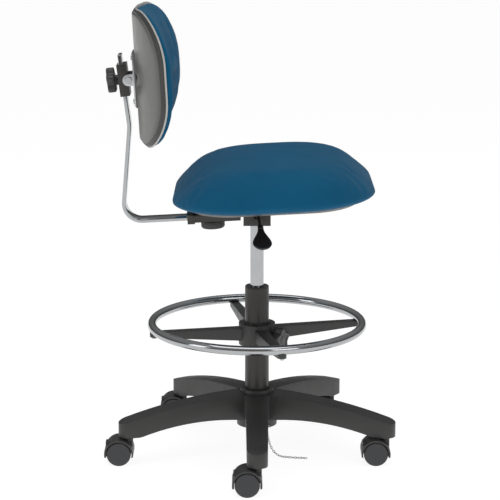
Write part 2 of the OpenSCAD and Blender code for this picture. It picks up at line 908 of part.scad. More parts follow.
module back_shell() color(shell_grey) {
    back_frame() difference() {
        union() {
            intersection() {
                front_extrude(far) back_outline(0);
                difference() {
                    back_curve(back_r);
                    back_curve(back_r - shell_depth);
                }
            }
            translate([-bracket_w / 2 - pad_margin, -pad_t - 2, pivot_z - bracket_h / 2 - pad_margin])
                cube([bracket_w + 2 * pad_margin, pad_t + 2, bracket_h + 2 * pad_margin]);
        }
        intersection() {
            front_extrude(far) back_outline(shell_wall);
            back_curve(back_r - shell_wall);
        }
        at_back_screws() cylinder(r = screw_r + slip, h = far, center = true);
    }
}

module back_board() color(birch) {
    back_frame() difference() {
        intersection() {
            front_extrude(far) back_outline(shell_wall + 4);
            difference() {
                back_curve(back_r - shell_wall - air);
                back_curve(back_r - shell_wall - air - back_board_t);
            }
        }
        at_back_screws() cylinder(r = screw_r + slip, h = far, center = true);
    }
}

module back_cushion() color(fabric) {
    back_frame() difference() {
        intersection() {
            front_extrude(far) back_outline(0);
            back_curve(back_r - shell_depth - air);
        }
        translate([0, -back_thick - front_r, -far / 2]) cylinder(r = front_r, h = far, $fn = 360);
    }
}

module back_bracket() color(zinc) {
    back_frame() difference() {
        union() {
            translate([-bracket_w / 2, 0, pivot_z - bracket_h / 2])
                cube([bracket_w, bracket_t, bracket_h]);
            for (side = [-1, 1]) {
                translate([side * (ear_gap + ear_t / 2), 0, pivot_z]) side_extrude(ear_t) {
                    translate([0, -ear_h / 2]) square([pivot_y, ear_h]);
                    translate([pivot_y, 0]) circle(r = ear_h / 2);
                }
            }
        }
        translate([0, pivot_y, pivot_z]) rotate([0, 90, 0])
            cylinder(r = pivot_r + slip, h = far, center = true);
        at_back_screws() cylinder(r = screw_r + slip, h = far, center = true);
        translate([-ear_gap, bracket_t, pivot_z - far / 2]) cube([2 * ear_gap, far, far]);
    }
}

module pivot_bolt() color(zinc) {
    bolt_half = ear_gap + ear_t;
    back_frame() translate([0, pivot_y, pivot_z]) rotate([0, 90, 0]) {
        cylinder(r = pivot_r, h = 2 * bolt_half + 8, center = true);
        for (side = [-1, 1]) {
            translate([0, 0, side * (bolt_half + 2.5)])
                cylinder(r = 2 * pivot_r, h = 5, center = true, $fn = 6);
        }
    }
}

module back_screws() color(zinc) {
    back_frame() at_back_screws() {
        translate([0, 0, -bracket_t - screw_head_t]) cylinder(r = screw_head_r, h = screw_head_t);
        translate([0, 0, -bracket_t - eps]) cylinder(r = screw_r, h = screw_len);
    }
}

// ---- Foot ring ----

module ring_bush() color(acetal) {
    difference() {
        union() {
            translate([0, 0, bush_low]) cylinder(r = bush_r, h = bush_high - bush_low);
            translate([0, 0, bush_low]) cylinder(r = bush_r + 4, h = bush_lip - slide);
        }
        translate([0, 0, bush_low - eps])
            cylinder(r = tube_r + slip, h = bush_high - bush_low + 2 * eps);
    }
}

module foot_ring() color(chrome) {
    translate([0, 0, ring_z]) difference() {
        rotate_extrude($fn = 180) translate([ring_r, 0]) difference() {
            circle(r = ring_tube_r, $fn = 48);
            circle(r = ring_tube_r - ring_wall, $fn = 48);
        }
        at_spokes() translate([ring_r, 0, -ring_tube_r - 1]) cylinder(r = ring_screw_r + slip, h = 4);
    }
}

module at_spokes() {
    for (n = [0:3]) rotate([0, 0, ring_turn + n * 90]) children();
}

module spoke() {
    root = spider_r - 6;
    intersection() {
        rotate([90, 0, 0]) linear_extrude(far, center = true)
            polygon([[root, spoke_high - 2], [spoke_end, spoke_high],
                     [spoke_end, spoke_high - spoke_tip_h], [root, spoke_high - spoke_root_h]]);
        linear_extrude(far) {
            polygon([[root, -spoke_root_half_w], [spoke_end - spoke_half_w, -spoke_half_w],
                     [spoke_end - spoke_half_w, spoke_half_w], [root, spoke_root_half_w]]);
            translate([spoke_end - spoke_half_w, 0]) circle(r = spoke_half_w);
        }
    }
}

module ring_spider() color(nylon) {
    difference() {
        union() {
            translate([0, 0, spider_low]) cylinder(r = spider_r, h = spider_high - spider_low);
            at_spokes() spoke();
            rotate([0, 0, ring_knob_turn]) translate([0, 0, ring_knob_z]) rotate([0, 90, 0])
                cylinder(r = 11, h = ring_knob_at - 1);
        }
        translate([0, 0, bush_low - 1]) cylinder(r = bush_r + slip, h = bush_high - bush_low + 2);
        translate([0, 0, ring_z]) rotate_extrude($fn = 180) translate([ring_r, 0])
            circle(r = ring_tube_r + slip, $fn = 48);
        at_spokes() translate([ring_r, 0, 0]) cylinder(r = ring_screw_r + slip, h = ring_z);
        rotate([0, 0, ring_knob_turn]) translate([0, 0, ring_knob_z]) rotate([0, 90, 0])
            cylinder(r = stud_r + slip, h = far);
    }
}

module ring_screws() color(zinc) {
    low = spoke_high - spoke_tip_h - 1;
    at_spokes() translate([ring_r, 0, 0]) {
        translate([0, 0, low - ring_screw_head_t]) cylinder(r = ring_screw_head_r, h = ring_screw_head_t);
        translate([0, 0, low - eps]) cylinder(r = ring_screw_r, h = ring_z - ring_tube_r + 3 - low);
    }
}

module ring_knob() color(nylon) {
    rotate([0, 0, ring_knob_turn]) translate([0, 0, ring_knob_z]) rotate([0, 90, 0]) {
        translate([0, 0, ring_knob_at]) star_knob();
        translate([0, 0, bush_r + slide]) cylinder(r = stud_r, h = ring_knob_at - bush_r - slide + eps);
    }
}

// ---- Nodes ----

star_base();
caster_stems();
column_tube();
column_bushing();
bearing_race();
thrust_balls();
drag_chain();
chain_clip();
piston_rod();
bearing_washer();
rod_clip();
gas_cylinder();
seat_plate();
seat_board();
seat_pan();
seat_cushion();
seat_bolts();
tee_nuts();
lever_pin();
release_pin();
lever_rod();
lever_paddle();
j_bar();
depth_knob();
back_sleeve();
back_knob();
back_bracket();
pivot_bolt();
back_shell();
back_board();
back_cushion();
back_screws();
ring_bush();
foot_ring();
ring_spider();
ring_screws();
ring_knob();
caster_hood(1);  // caster_hood_1
caster_hood(2);  // caster_hood_2
caster_hood(3);  // caster_hood_3
caster_hood(4);  // caster_hood_4
caster_hood(5);  // caster_hood_5
caster_axle(1);  // caster_axle_1
caster_axle(2);  // caster_axle_2
caster_axle(3);  // caster_axle_3
caster_axle(4);  // caster_axle_4
caster_axle(5);  // caster_axle_5
wheel(1, -1);  // wheel_left_1
wheel(2, -1);  // wheel_left_2
wheel(3, -1);  // wheel_left_3
wheel(4, -1);  // wheel_left_4
wheel(5, -1);  // wheel_left_5
wheel(1, 1);  // wheel_right_1
wheel(2, 1);  // wheel_right_2
wheel(3, 1);  // wheel_right_3
wheel(4, 1);  // wheel_right_4
wheel(5, 1);  // wheel_right_5
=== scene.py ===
# %% [markdown]
# # A drafting chair in Blender
#
# The chair stands on a five-armed nylon base with twin-wheel casters. A gas cylinder carries an
# upholstered seat, a chromed foot ring slides on the outer column, and a flat steel bar holds the
# backrest. The imported model gives every part its place and its motion. Each lesson below takes one
# piece or one finish, says what it is on the real chair, and then makes it.
#
# The first step loads the imported model.

# %% Load the imported model
import json
import math

import bmesh
import bpy
from mathutils import Matrix, Vector


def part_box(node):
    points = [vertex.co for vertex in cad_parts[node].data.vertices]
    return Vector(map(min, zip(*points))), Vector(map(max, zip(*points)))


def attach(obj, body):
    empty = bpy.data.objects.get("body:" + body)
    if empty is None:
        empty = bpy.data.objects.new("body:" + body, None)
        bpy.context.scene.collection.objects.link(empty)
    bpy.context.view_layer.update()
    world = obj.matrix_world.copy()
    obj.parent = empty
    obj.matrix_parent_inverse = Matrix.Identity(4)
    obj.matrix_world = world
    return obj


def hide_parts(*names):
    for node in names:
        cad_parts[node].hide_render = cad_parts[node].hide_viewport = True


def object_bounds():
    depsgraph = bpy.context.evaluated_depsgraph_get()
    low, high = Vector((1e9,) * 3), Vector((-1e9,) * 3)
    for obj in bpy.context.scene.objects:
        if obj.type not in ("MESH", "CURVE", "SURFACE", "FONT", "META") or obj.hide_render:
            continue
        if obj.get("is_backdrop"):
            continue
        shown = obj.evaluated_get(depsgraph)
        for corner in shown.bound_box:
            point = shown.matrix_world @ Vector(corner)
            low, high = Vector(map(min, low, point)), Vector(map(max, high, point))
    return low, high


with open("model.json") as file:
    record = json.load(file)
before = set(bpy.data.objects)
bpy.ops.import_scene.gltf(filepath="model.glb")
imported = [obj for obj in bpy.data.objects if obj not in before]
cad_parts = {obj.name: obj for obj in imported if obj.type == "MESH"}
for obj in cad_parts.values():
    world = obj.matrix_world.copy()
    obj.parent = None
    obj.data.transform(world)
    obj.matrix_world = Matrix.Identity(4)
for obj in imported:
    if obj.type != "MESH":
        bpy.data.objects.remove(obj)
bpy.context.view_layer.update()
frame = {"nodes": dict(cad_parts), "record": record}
MM = 0.001

# %% Look up bodies and joints in the record
behaviour = frame["record"]["behaviour"]
BODY_OF = {node: body for body, nodes in behaviour["bodies"].items() for node in nodes}
JOINTS = {joint["name"]: joint for joint in behaviour["joints"]}


def joint_at(name):
    """Where a joint is, and the direction of its axis."""
    return Vector(JOINTS[name]["pos_m"]), Vector(JOINTS[name]["axis"])


# %% [markdown]
# ## The camera
#
# A long lens from almost four metres away keeps the chair's proportions calm, as a catalogue
# picture does. The camera stands level with the seat's side, a little above the chair, and looks
# down by about twelve degrees. Its place and lens are plain numbers, because they belong to the
# view and not to the chair.

# %% Place the camera
CAMERA_DISTANCE = 3.8994
CAMERA_HEIGHT = 1.2924
CAMERA_SIDE = 0.0145
CAMERA_PITCH = math.radians(12.436)
CAMERA_LENS = 138.77

lens = bpy.data.cameras.new("Camera")
lens.lens = CAMERA_LENS
lens.sensor_width = 36
camera = bpy.data.objects.new("Camera", lens)
bpy.context.scene.collection.objects.link(camera)
camera.location = (-CAMERA_DISTANCE, CAMERA_SIDE, CAMERA_HEIGHT)
camera.rotation_euler = (math.pi / 2 - CAMERA_PITCH, 0, -math.pi / 2)
bpy.context.scene.camera = camera
print("camera looks down by", round(math.degrees(CAMERA_PITCH), 1), "degrees")

# %% [markdown]
# ## Helpers for node trees
#
# Shaders and Geometry Nodes are both made of nodes with sockets. Building them by hand in code is
# wordy, so one function adds a node of any type, sets its settings first and its sockets after, and
# links whatever is itself a socket. A small class wraps a socket so that ordinary arithmetic on it
# adds Math nodes: 1 - mask is then a real node, and a formula reads like a formula.

# %% Add any node to any tree
def set_ramp(node, stops):
    ramp = node.color_ramp.elements
    while len(ramp) < len(stops):
        ramp.new(0.5)
    for element, (position, value) in zip(ramp, stops):
        element.position = position
        element.color = (value, value, value, 1)


def add_node(tree, kind, settings=None, sockets=None):
    """Adds a node, sets its settings, then fills or links its sockets by name or number."""
    node = tree.nodes.new(kind)
    for key, value in (settings or {}).items():
        if key == "stops":
            set_ramp(node, value)
        else:
            setattr(node, key, value)
    for key, value in (sockets or {}).items():
        if isinstance(value, Wire):
            value = value.socket
        if isinstance(value, bpy.types.NodeSocket):
            tree.links.new(value, node.inputs[key])
        else:
            node.inputs[key].default_value = value
    return node


# %% Arithmetic on sockets
class Wire:
    """A socket that Python's arithmetic works on."""

    def __init__(self, tree, socket):
        self.tree = tree
        self.socket = socket

    def math(self, operation, first, second=0.0):
        node = add_node(self.tree, "ShaderNodeMath", {"operation": operation}, {0: first, 1: second})
        return Wire(self.tree, node.outputs[0])

    def __add__(self, other):
        return self.math("ADD", self, other)

    def __sub__(self, other):
        return self.math("SUBTRACT", self, other)

    def __rsub__(self, other):
        return self.math("SUBTRACT", other, self)

    def __mul__(self, other):
        return self.math("MULTIPLY", self, other)

    def sine(self):
        return self.math("SINE", self)

    __radd__ = __add__
    __rmul__ = __mul__


print("sockets can now be added, subtracted and multiplied")

# %% [markdown]
# ## The drag chain
#
# A short chain of zinc-plated links hangs from the base and trails on the floor, so that static
# charge can drain away. It is the one thing here that hangs free, so its length and its route come
# first. The links repeat along a path, which is what Geometry Nodes are for: the path is resampled
# to one point for each link, a link is made from a rounded rectangle of wire, and every other link
# is turned a quarter about the chain's own direction. Realizing the instances gives one plain mesh.

# %% The route of the chain
CHAIN_POINTS = [Vector(p) * MM for p in (
    (-58, -21, 71), (-58, -21, 66), (-58, -21.5, 60), (-58, -22, 54), (-58, -23, 48),
    (-58, -24, 42), (-58, -25.5, 36), (-58, -27, 30), (-58, -29.5, 24), (-58, -32.5, 18),
    (-58, -36.5, 12.5), (-58, -41.5, 8), (-58, -47, 5), (-58.5, -53, 3.3), (-59.5, -59, 2.8),
    (-61, -65, 2.8), (-62.5, -71, 2.8), (-64, -77, 2.8), (-65, -83, 2.8), (-65.5, -89, 2.8),
    (-66, -95, 2.8), (-67, -101, 2.8))]
chain_length = sum((b - a).length for a, b in zip(CHAIN_POINTS, CHAIN_POINTS[1:]))
print("chain length in millimetres:", round(1000 * chain_length, 1))


# %% Helpers that start and finish a Geometry Nodes tree
def new_growth(name, **sizes):
    """A tree with a geometry input, named size inputs, and the nodes at its two ends."""
    tree = bpy.data.node_groups.new(name, "GeometryNodeTree")
    tree.interface.new_socket("Geometry", in_out="INPUT", socket_type="NodeSocketGeometry")
    tree.interface.new_socket("Geometry", in_out="OUTPUT", socket_type="NodeSocketGeometry")
    for label, value in sizes.items():
        kind = "NodeSocketInt" if isinstance(value, int) else "NodeSocketFloat"
        tree.interface.new_socket(label, in_out="INPUT", socket_type=kind)
    return tree, tree.nodes.new("NodeGroupInput"), tree.nodes.new("NodeGroupOutput")


def end_growth(tree, end, instances, material):
    solid = add_node(tree, "GeometryNodeRealizeInstances", None, {0: instances})
    painted = add_node(tree, "GeometryNodeSetMaterial", None,
                       {"Geometry": solid.outputs[0], "Material": material})
    tree.links.new(painted.outputs[0], end.inputs[0])


def grow(name, points, edges, tree, **sizes):
    """Runs a tree on a small mesh of points and edges, and returns the result as a plain mesh."""
    seed_mesh = bpy.data.meshes.new(name)
    seed_mesh.from_pydata([tuple(p) for p in points], edges, [])
    seed = bpy.data.objects.new(name, seed_mesh)
    bpy.context.scene.collection.objects.link(seed)
    modifier = seed.modifiers.new("Growth", "NODES")
    modifier.node_group = tree
    for item in tree.interface.items_tree:
        if item.in_out == "INPUT" and item.name in sizes:
            modifier[item.identifier] = sizes[item.name]
    return settle(seed)


def settle(piece):
    """Turns a piece and its modifiers into a plain mesh without modifiers."""
    bpy.context.view_layer.update()
    graph = bpy.context.evaluated_depsgraph_get()
    mesh = bpy.data.meshes.new_from_object(piece.evaluated_get(graph))
    piece.modifiers.clear()
    piece.data = mesh
    return piece


print("growth helpers are ready")

# %% [markdown]
# ## Finishes
#
# Every finish is one Principled shader. A value that is the same all over is set on the shader's own
# socket. What varies over the surface is made of noise and waves: it drives the colour, the
# roughness and a bump, at the size that the real surface has. Noise reads Object coordinates, which
# are metres here, so a scale of 1000 makes grains of about a millimetre.


# %% A finish is a shader with named parts
class Finish:
    """A material whose varying values are built from wires."""

    def __init__(self, name, **constants):
        self.material = bpy.data.materials.new(name)
        self.material.use_nodes = True
        self.tree = self.material.node_tree
        self.shader = self.tree.nodes["Principled BSDF"]
        for label, value in constants.items():
            self.shader.inputs[label.replace("_", " ")].default_value = value

    def node(self, kind, settings=None, sockets=None, output=0):
        return Wire(self.tree, add_node(self.tree, kind, settings, sockets).outputs[output])

    def noise(self, scale, detail=3.0, stretch=(1, 1, 1)):
        place = self.node("ShaderNodeTexCoord", output="Object")
        turned = self.node("ShaderNodeMapping", None, {"Vector": place, "Scale": stretch})
        return self.node("ShaderNodeTexNoise", None, {"Vector": turned, "Scale": scale, "Detail": detail})

    def ramp(self, factor, *stops):
        return self.node("ShaderNodeValToRGB", {"stops": stops}, {"Fac": factor})

    def mix(self, factor, first, second):
        sockets = {0: factor, 6: first, 7: second}
        return self.node("ShaderNodeMix", {"data_type": "RGBA"}, sockets, output=2)

    def bump(self, height, depth, strength=1.0):
        sockets = {"Height": height, "Distance": depth, "Strength": strength}
        return self.node("ShaderNodeBump", None, sockets)

    def drive(self, **wires):
        for label, wire in wires.items():
            self.tree.links.new(wire.socket, self.shader.inputs[label.replace("_", " ")])
        return self.material


def shade(*rgb):
    """A linear colour with full alpha."""
    return (*rgb, 1.0)


# %% Moulded plastics
def moulded(name, dark, light, rough, grain=1400, depth=0.05 * MM, **constants):
    """Slow colour drift, a fine pebbled grain, and patches that handling has polished."""
    finish = Finish(name, **constants)
    drift = finish.noise(14, 4)
    grains = finish.noise(grain, 2)
    polish = finish.ramp(finish.noise(45, 5), (0.45, 0), (0.75, 1))
    return finish.drive(
        Base_Color=finish.mix(drift * 0.7 + grains * 0.3, dark, light),
        Roughness=drift * 0.12 + grains * 0.1 - polish * 0.07 + (rough - 0.11),
        Normal=finish.bump(grains, depth))


NYLON = moulded("black_nylon", shade(0.030, 0.030, 0.029), shade(0.046, 0.046, 0.044), 0.46)
CASTER_NYLON = moulded("caster_nylon", shade(0.034, 0.034, 0.034), shade(0.05, 0.05, 0.049), 0.42)
WHEEL_PLASTIC = moulded("wheel_plastic", shade(0.032, 0.033, 0.036), shade(0.044, 0.045, 0.048),
                        0.4, 2600, 0.03 * MM)
KNOB_PLASTIC = moulded("knob_plastic", shade(0.036, 0.036, 0.036), shade(0.052, 0.052, 0.052), 0.4)
LEVER_PLASTIC = moulded("lever_plastic", shade(0.012, 0.010, 0.011), shade(0.022, 0.018, 0.02),
                        0.24, 900, 0.01 * MM, Coat_Weight=0.3)
ACETAL = moulded("black_acetal", shade(0.018, 0.018, 0.018), shade(0.03, 0.03, 0.03), 0.35)
SHELL_PLASTIC = moulded("grey_shell", shade(0.105, 0.105, 0.1), shade(0.135, 0.134, 0.128),
                        0.36, 1900, 0.03 * MM)
# The pale colour of this plastic is a painted highlight: it gives the backrest's edge bead the bright line of
# light along it.
PAINTED_GLINT_PLASTIC = moulded("pale_edge_painted_glint", shade(0.4, 0.4, 0.38), shade(0.52, 0.52, 0.5), 0.35)
print("moulded plastics:", len(bpy.data.materials))


# %% Metals and paint
def plated(name, dark, light, rough, brush=(1, 1, 1), depth=0.004 * MM, **constants):
    """Plating over steel: clouded polish, faint drawing marks, and a few small pits."""
    finish = Finish(name, Metallic=1.0, **constants)
    cloud = finish.noise(30, 4)
    marks = finish.noise(700, 3, brush)
    pits = finish.ramp(finish.noise(900, 1), (0.72, 0), (0.8, 1))
    return finish.drive(
        Base_Color=finish.mix(cloud * 0.6 + marks * 0.4, dark, light),
        Roughness=cloud * 0.06 + marks * 0.05 + pits * 0.2 + (rough - 0.05),
        Normal=finish.bump(marks, depth))


CHROME = plated("chrome", shade(0.36, 0.37, 0.38), shade(0.50, 0.51, 0.52), 0.12, (1, 1, 0.1))
ZINC = plated("zinc_steel", shade(0.42, 0.43, 0.44), shade(0.62, 0.63, 0.64), 0.3, (1, 0.2, 1), 0.02 * MM)


def powder_coat(name):
    finish = Finish(name, Specular_IOR_Level=0.5)
    drift = finish.noise(18, 4)
    orange_peel = finish.noise(650, 2)
    return finish.drive(
        Base_Color=finish.mix(drift, shade(0.026, 0.024, 0.022), shade(0.04, 0.037, 0.034)),
        Roughness=drift * 0.12 + orange_peel * 0.1 + 0.26,
        Normal=finish.bump(orange_peel, 0.04 * MM))


POWDER = powder_coat("black_steel")


# %% Plywood for the boards
def plywood(name):
    finish = Finish(name)
    rings = finish.noise(60, 4, (1, 0.08, 6))
    fibre = finish.noise(900, 2, (1, 0.06, 1))
    return finish.drive(
        Base_Color=finish.mix(rings * 0.6 + fibre * 0.4, shade(0.36, 0.24, 0.13), shade(0.66, 0.5, 0.32)),
        Roughness=fibre * 0.2 + 0.5,
        Normal=finish.bump(fibre, 0.08 * MM))


PLY = plywood("birch_ply")


# %% Woven blue fabric
WEAVE_PITCH = 1.7 * MM


def woven(name):
    """Plain weave on the piece's own cloth map: threads cross over and under, with fuzz between."""
    finish = Finish(name, Sheen_Weight=0.08, Sheen_Roughness=0.45, Specular_IOR_Level=0.1)
    cloth = finish.node("ShaderNodeUVMap", {"uv_map": "cloth"})
    split = add_node(finish.tree, "ShaderNodeSeparateXYZ", None, {"Vector": cloth})
    turns = 2 * math.pi / WEAVE_PITCH
    warp = (Wire(finish.tree, split.outputs["X"]) * turns).sine()
    weft = (Wire(finish.tree, split.outputs["Y"]) * turns).sine()
    threads = warp * weft * 0.5 + 0.5
    fuzz = finish.noise(1100, 3)
    drift = finish.noise(9, 3)
    light = threads * 0.35 + fuzz * 0.45 + drift * 0.2
    return finish.drive(
        Base_Color=finish.mix(light, shade(0.002, 0.048, 0.115), shade(0.008, 0.145, 0.28)),
        Roughness=fuzz * 0.1 + 0.82,
        Normal=finish.bump(threads * 0.6 + fuzz * 0.4, 0.35 * MM, 0.8))


FABRIC = woven("blue_fabric")
print("finishes:", len(bpy.data.materials))

FINISH_OF_SLOT = {
    "blue_fabric": FABRIC, "grey_shell": SHELL_PLASTIC, "black_nylon": NYLON,
    "caster_nylon": CASTER_NYLON, "wheel_plastic": WHEEL_PLASTIC, "knob_plastic": KNOB_PLASTIC,
    "lever_plastic": LEVER_PLASTIC, "black_acetal": ACETAL, "black_steel": POWDER,
    "chrome": CHROME, "zinc_steel": ZINC, "birch_ply": PLY}

# %% [markdown]
# Every CAD part that stays visible takes the finish of its slot in the record. Parts that are
# replaced later keep the same slot names, so that a repaint reaches both.

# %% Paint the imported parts
SLOT_OF = {row["node"]: row["material_slot"] for row in frame["record"]["subparts"]}
for name, part in frame["nodes"].items():
    part.data.materials.clear()
    part.data.materials.append(FINISH_OF_SLOT[SLOT_OF[name]])
print("painted", len(SLOT_OF), "packed parts")

# %% [markdown]
# The chain's tree can now be built. Its inputs are the number of links, their length and width, and
# the thickness of the wire.

# %% Grow the chain
LINK_LENGTH = 7.4 * MM
LINK_WIDTH = 4.9 * MM
LINK_WIRE = 0.75 * MM


def chain_tree():
    tree, start, end = new_growth("chain_growth", Count=2, Length=0.01, Width=0.01, Wire=0.001)
    path = add_node(tree, "GeometryNodeMeshToCurve", None, {"Mesh": start.outputs["Geometry"]})
    spaced = add_node(tree, "GeometryNodeResampleCurve", None,
                      {"Curve": path.outputs[0], "Count": start.outputs["Count"]})
    frame_of_link = add_node(tree, "GeometryNodeCurvePrimitiveQuadrilateral", None,
                             {"Width": start.outputs["Length"], "Height": start.outputs["Width"]})
    rounded = add_node(tree, "GeometryNodeFilletCurve", {"mode": "POLY"},
                       {"Curve": frame_of_link.outputs[0], "Count": 4, "Radius": 0.45 * LINK_WIDTH})
    wire = add_node(tree, "GeometryNodeCurvePrimitiveCircle", None,
                    {"Resolution": 6, "Radius": start.outputs["Wire"]})
    link = add_node(tree, "GeometryNodeCurveToMesh", None,
                    {"Curve": rounded.outputs[0], "Profile Curve": wire.outputs[0]})
    tangent = add_node(tree, "GeometryNodeInputTangent")
    along = add_node(tree, "FunctionNodeAlignRotationToVector", {"axis": "X"},
                     {"Vector": tangent.outputs[0]})
    index = add_node(tree, "GeometryNodeInputIndex")
    quarter = Wire(tree, index.outputs[0]) * (math.pi / 2) + math.pi / 4
    roll = add_node(tree, "FunctionNodeAxisAngleToRotation", None,
                    {"Axis": (1, 0, 0), "Angle": quarter})
    turned = add_node(tree, "FunctionNodeRotateRotation", {"rotation_space": "LOCAL"},
                      {"Rotation": along.outputs[0], "Rotate By": roll.outputs[0]})
    links = add_node(tree, "GeometryNodeInstanceOnPoints", None,
                     {"Points": spaced.outputs[0], "Instance": link.outputs[0],
                      "Rotation": turned.outputs[0]})
    end_growth(tree, end, links.outputs[0], ZINC)
    return tree


LINK_PITCH = LINK_LENGTH - 2.6 * LINK_WIRE
link_count = round(chain_length / LINK_PITCH) + 1
edges = [(k, k + 1) for k in range(len(CHAIN_POINTS) - 1)]
chain = grow("chain_links", CHAIN_POINTS, edges, chain_tree(), Count=link_count,
             Length=LINK_LENGTH, Width=LINK_WIDTH - 2 * LINK_WIRE, Wire=LINK_WIRE)
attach(chain, "base")
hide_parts("drag_chain")
print("links:", link_count, "faces:", len(chain.data.polygons))

# %% [markdown]
# ## Mesh helpers
#
# Most pieces here are lofts: a stack of closed outlines with the same number of points, joined by
# faces and closed at both ends. A turned piece is a loft of circles. A pressed or moulded piece is
# a loft of round-cornered outlines whose inset and height follow a profile. The other way is to
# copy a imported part, merge its loose triangles, and bevel its edges, because no real edge is sharp.

# %% Outlines and profiles


def outline(half_w, half_d, corner, per_corner=14, per_side=10):
    """Points round a rectangle with round corners, always the same number."""
    corner = max(min(corner, 0.98 * half_w, 0.98 * half_d), 1e-5)
    signs = [(1, 1), (-1, 1), (-1, -1), (1, -1)]
    points = []
    for quarter, (sx, sy) in enumerate(signs):
        centre = Vector((sx * (half_w - corner), sy * (half_d - corner)))
        for k in range(per_corner + 1):
            angle = (quarter + k / per_corner) * math.pi / 2
            points.append(centre + corner * Vector((math.cos(angle), math.sin(angle))))
        nx, ny = signs[(quarter + 1) % 4]
        following = Vector((nx * (half_w - corner), ny * (half_d - corner)))
        turn = (quarter + 1) * math.pi / 2
        goal = following + corner * Vector((math.cos(turn), math.sin(turn)))
        last = points[-1]
        points += [last.lerp(goal, k / per_side) for k in range(1, per_side)]
    return points


def circle(radius, count=64):
    return [Vector((radius * math.cos(2 * math.pi * k / count), radius * math.sin(2 * math.pi * k / count)))
            for k in range(count)]


def smooth_profile(knots, steps=4):
    """A Catmull-Rom curve through the knots, with this many points from one knot to the next."""
    ends = [knots[0], *knots, knots[-1]]
    points = []
    for a, b, c, d in zip(ends, ends[1:], ends[2:], ends[3:]):
        for k in range(steps):
            t = k / steps
            points.append(tuple(
                0.5 * (2 * q + (r - p) * t + (2 * p - 5 * q + 4 * r - s) * t * t
                       + (3 * q - p - 3 * r + s) * t ** 3)
                for p, q, r, s in zip(a, b, c, d)))
    return points + [tuple(knots[-1])]


# %% Lofts and pieces


def loft(rings):
    """Points and faces of a closed solid through equal rings, each end closed by a fan."""
    count = len(rings[0])
    points = [p for ring in rings for p in ring]
    faces = [(k * count + i, k * count + (i + 1) % count,
              (k + 1) * count + (i + 1) % count, (k + 1) * count + i)
             for k in range(len(rings) - 1) for i in range(count)]
    for first, ring in ((0, rings[0]), ((len(rings) - 1) * count, rings[-1])):
        centre = sum(ring, Vector((0, 0, 0))) / count
        faces += [(first + i, first + (i + 1) % count, len(points)) for i in range(count)]
        points.append(centre)
    return points, faces


def finish_piece(piece, body, slot, material=None, nodes=(), sharp=38):
    """Outward normals, smooth shading between sharp edges, a finish, and its place on a body."""
    mesh = piece.data
    work = bmesh.new()
    work.from_mesh(mesh)
    bmesh.ops.remove_doubles(work, verts=work.verts, dist=1e-6)
    bmesh.ops.recalc_face_normals(work, faces=work.faces)
    work.to_mesh(mesh)
    work.free()
    mesh.shade_smooth()
    mesh.set_sharp_from_angle(angle=math.radians(sharp))
    mesh.materials.clear()
    mesh.materials.append(material or FINISH_OF_SLOT[slot])
    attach(piece, body)
    if nodes:
        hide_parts(*nodes)
    return piece


def new_object(name, points, faces):
    mesh = bpy.data.meshes.new(name)
    mesh.from_pydata([tuple(p) for p in points], [], faces)
    piece = bpy.data.objects.new(name, mesh)
    bpy.context.scene.collection.objects.link(piece)
    return piece


def lofted(name, rings, body, slot, **more):
    return finish_piece(new_object(name, *loft(rings)), body, slot, **more)


def turned(name, profile, place, body, slot, count=64, **more):
    """A piece turned on a lathe. The profile is (radius, height), placed by a matrix."""
    rings = [[place @ Vector((*p, height)) for p in circle(radius, count)] for radius, height in profile]
    return lofted(name, rings, body, slot, **more)


def softened(node, width, segments=3, angle=35, slot=None, name=None):
    """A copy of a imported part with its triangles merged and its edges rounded."""
    source = frame["nodes"][node]
    piece = bpy.data.objects.new(name or node + "_soft", source.data.copy())
    bpy.context.scene.collection.objects.link(piece)
    work = bmesh.new()
    work.from_mesh(piece.data)
    bmesh.ops.remove_doubles(work, verts=work.verts, dist=2e-6)
    bmesh.ops.dissolve_limit(work, angle_limit=math.radians(0.6), verts=work.verts, edges=work.edges)
    work.to_mesh(piece.data)
    work.free()
    bevel = piece.modifiers.new("Bevel", "BEVEL")
    bevel.width = width
    bevel.segments = segments
    bevel.limit_method = "ANGLE"
    bevel.angle_limit = math.radians(angle)
    bevel.use_clamp_overlap = True
    settle(piece)
    return finish_piece(piece, BODY_OF[node], slot or SLOT_OF[node], nodes=(node,), sharp=40)


print("mesh helpers are ready")

# %% [markdown]
# ## The seat cushion
#
# The seat is moulded foam with one piece of cloth pulled over it and stapled underneath, so it has
# no seams on show: a low dome rolls over a soft shoulder into a side that is about a hand's width
# tall, and tucks in at the bottom. A loft gives this shape a little too small. Cloth simulation with
# pressure then swells it, as tensioned fabric over foam does. The underside is pinned, because it
# rests in the pan. The swelling is capped, so that the cushion keeps its size.

# %% The sloping frame of the seat
slope = joint_at("seat_depth")[1]
MECH_Z = joint_at("pin_press")[0].z - 2 * MM
SEAT_FRAME = Matrix.Translation((0, 0, MECH_Z)) @ Matrix.Rotation(math.atan2(slope.z, slope.y), 4, "X")
SEAT_HALF_W = 230 * MM
SEAT_HALF_D = 212.5 * MM
SEAT_CORNER = 150 * MM
SEAT_FORWARD = 36 * MM
ARCH = 33 * MM               # how far the upper side falls away towards the front and rear
ARCH_FOOT = 50 * MM          # the height where the fall starts
ARCH_RISE = 55 * MM          # and the height above that where it is full
print("seat slope in degrees:", round(math.degrees(math.atan2(slope.z, slope.y)), 2))


def seat_ring(height, inset, half_w=SEAT_HALF_W, half_d=SEAT_HALF_D, corner=SEAT_CORNER):
    """An outline in the sloping frame, at a height and an inset in metres."""
    flat = outline(half_w - inset, half_d - inset, corner - 0.5 * inset)
    share = min(max((height - ARCH_FOOT) / ARCH_RISE, 0), 1)
    return [SEAT_FRAME @ Vector((p.x, p.y - SEAT_FORWARD, height - ARCH * share * (p.y / half_d) ** 4))
            for p in flat]


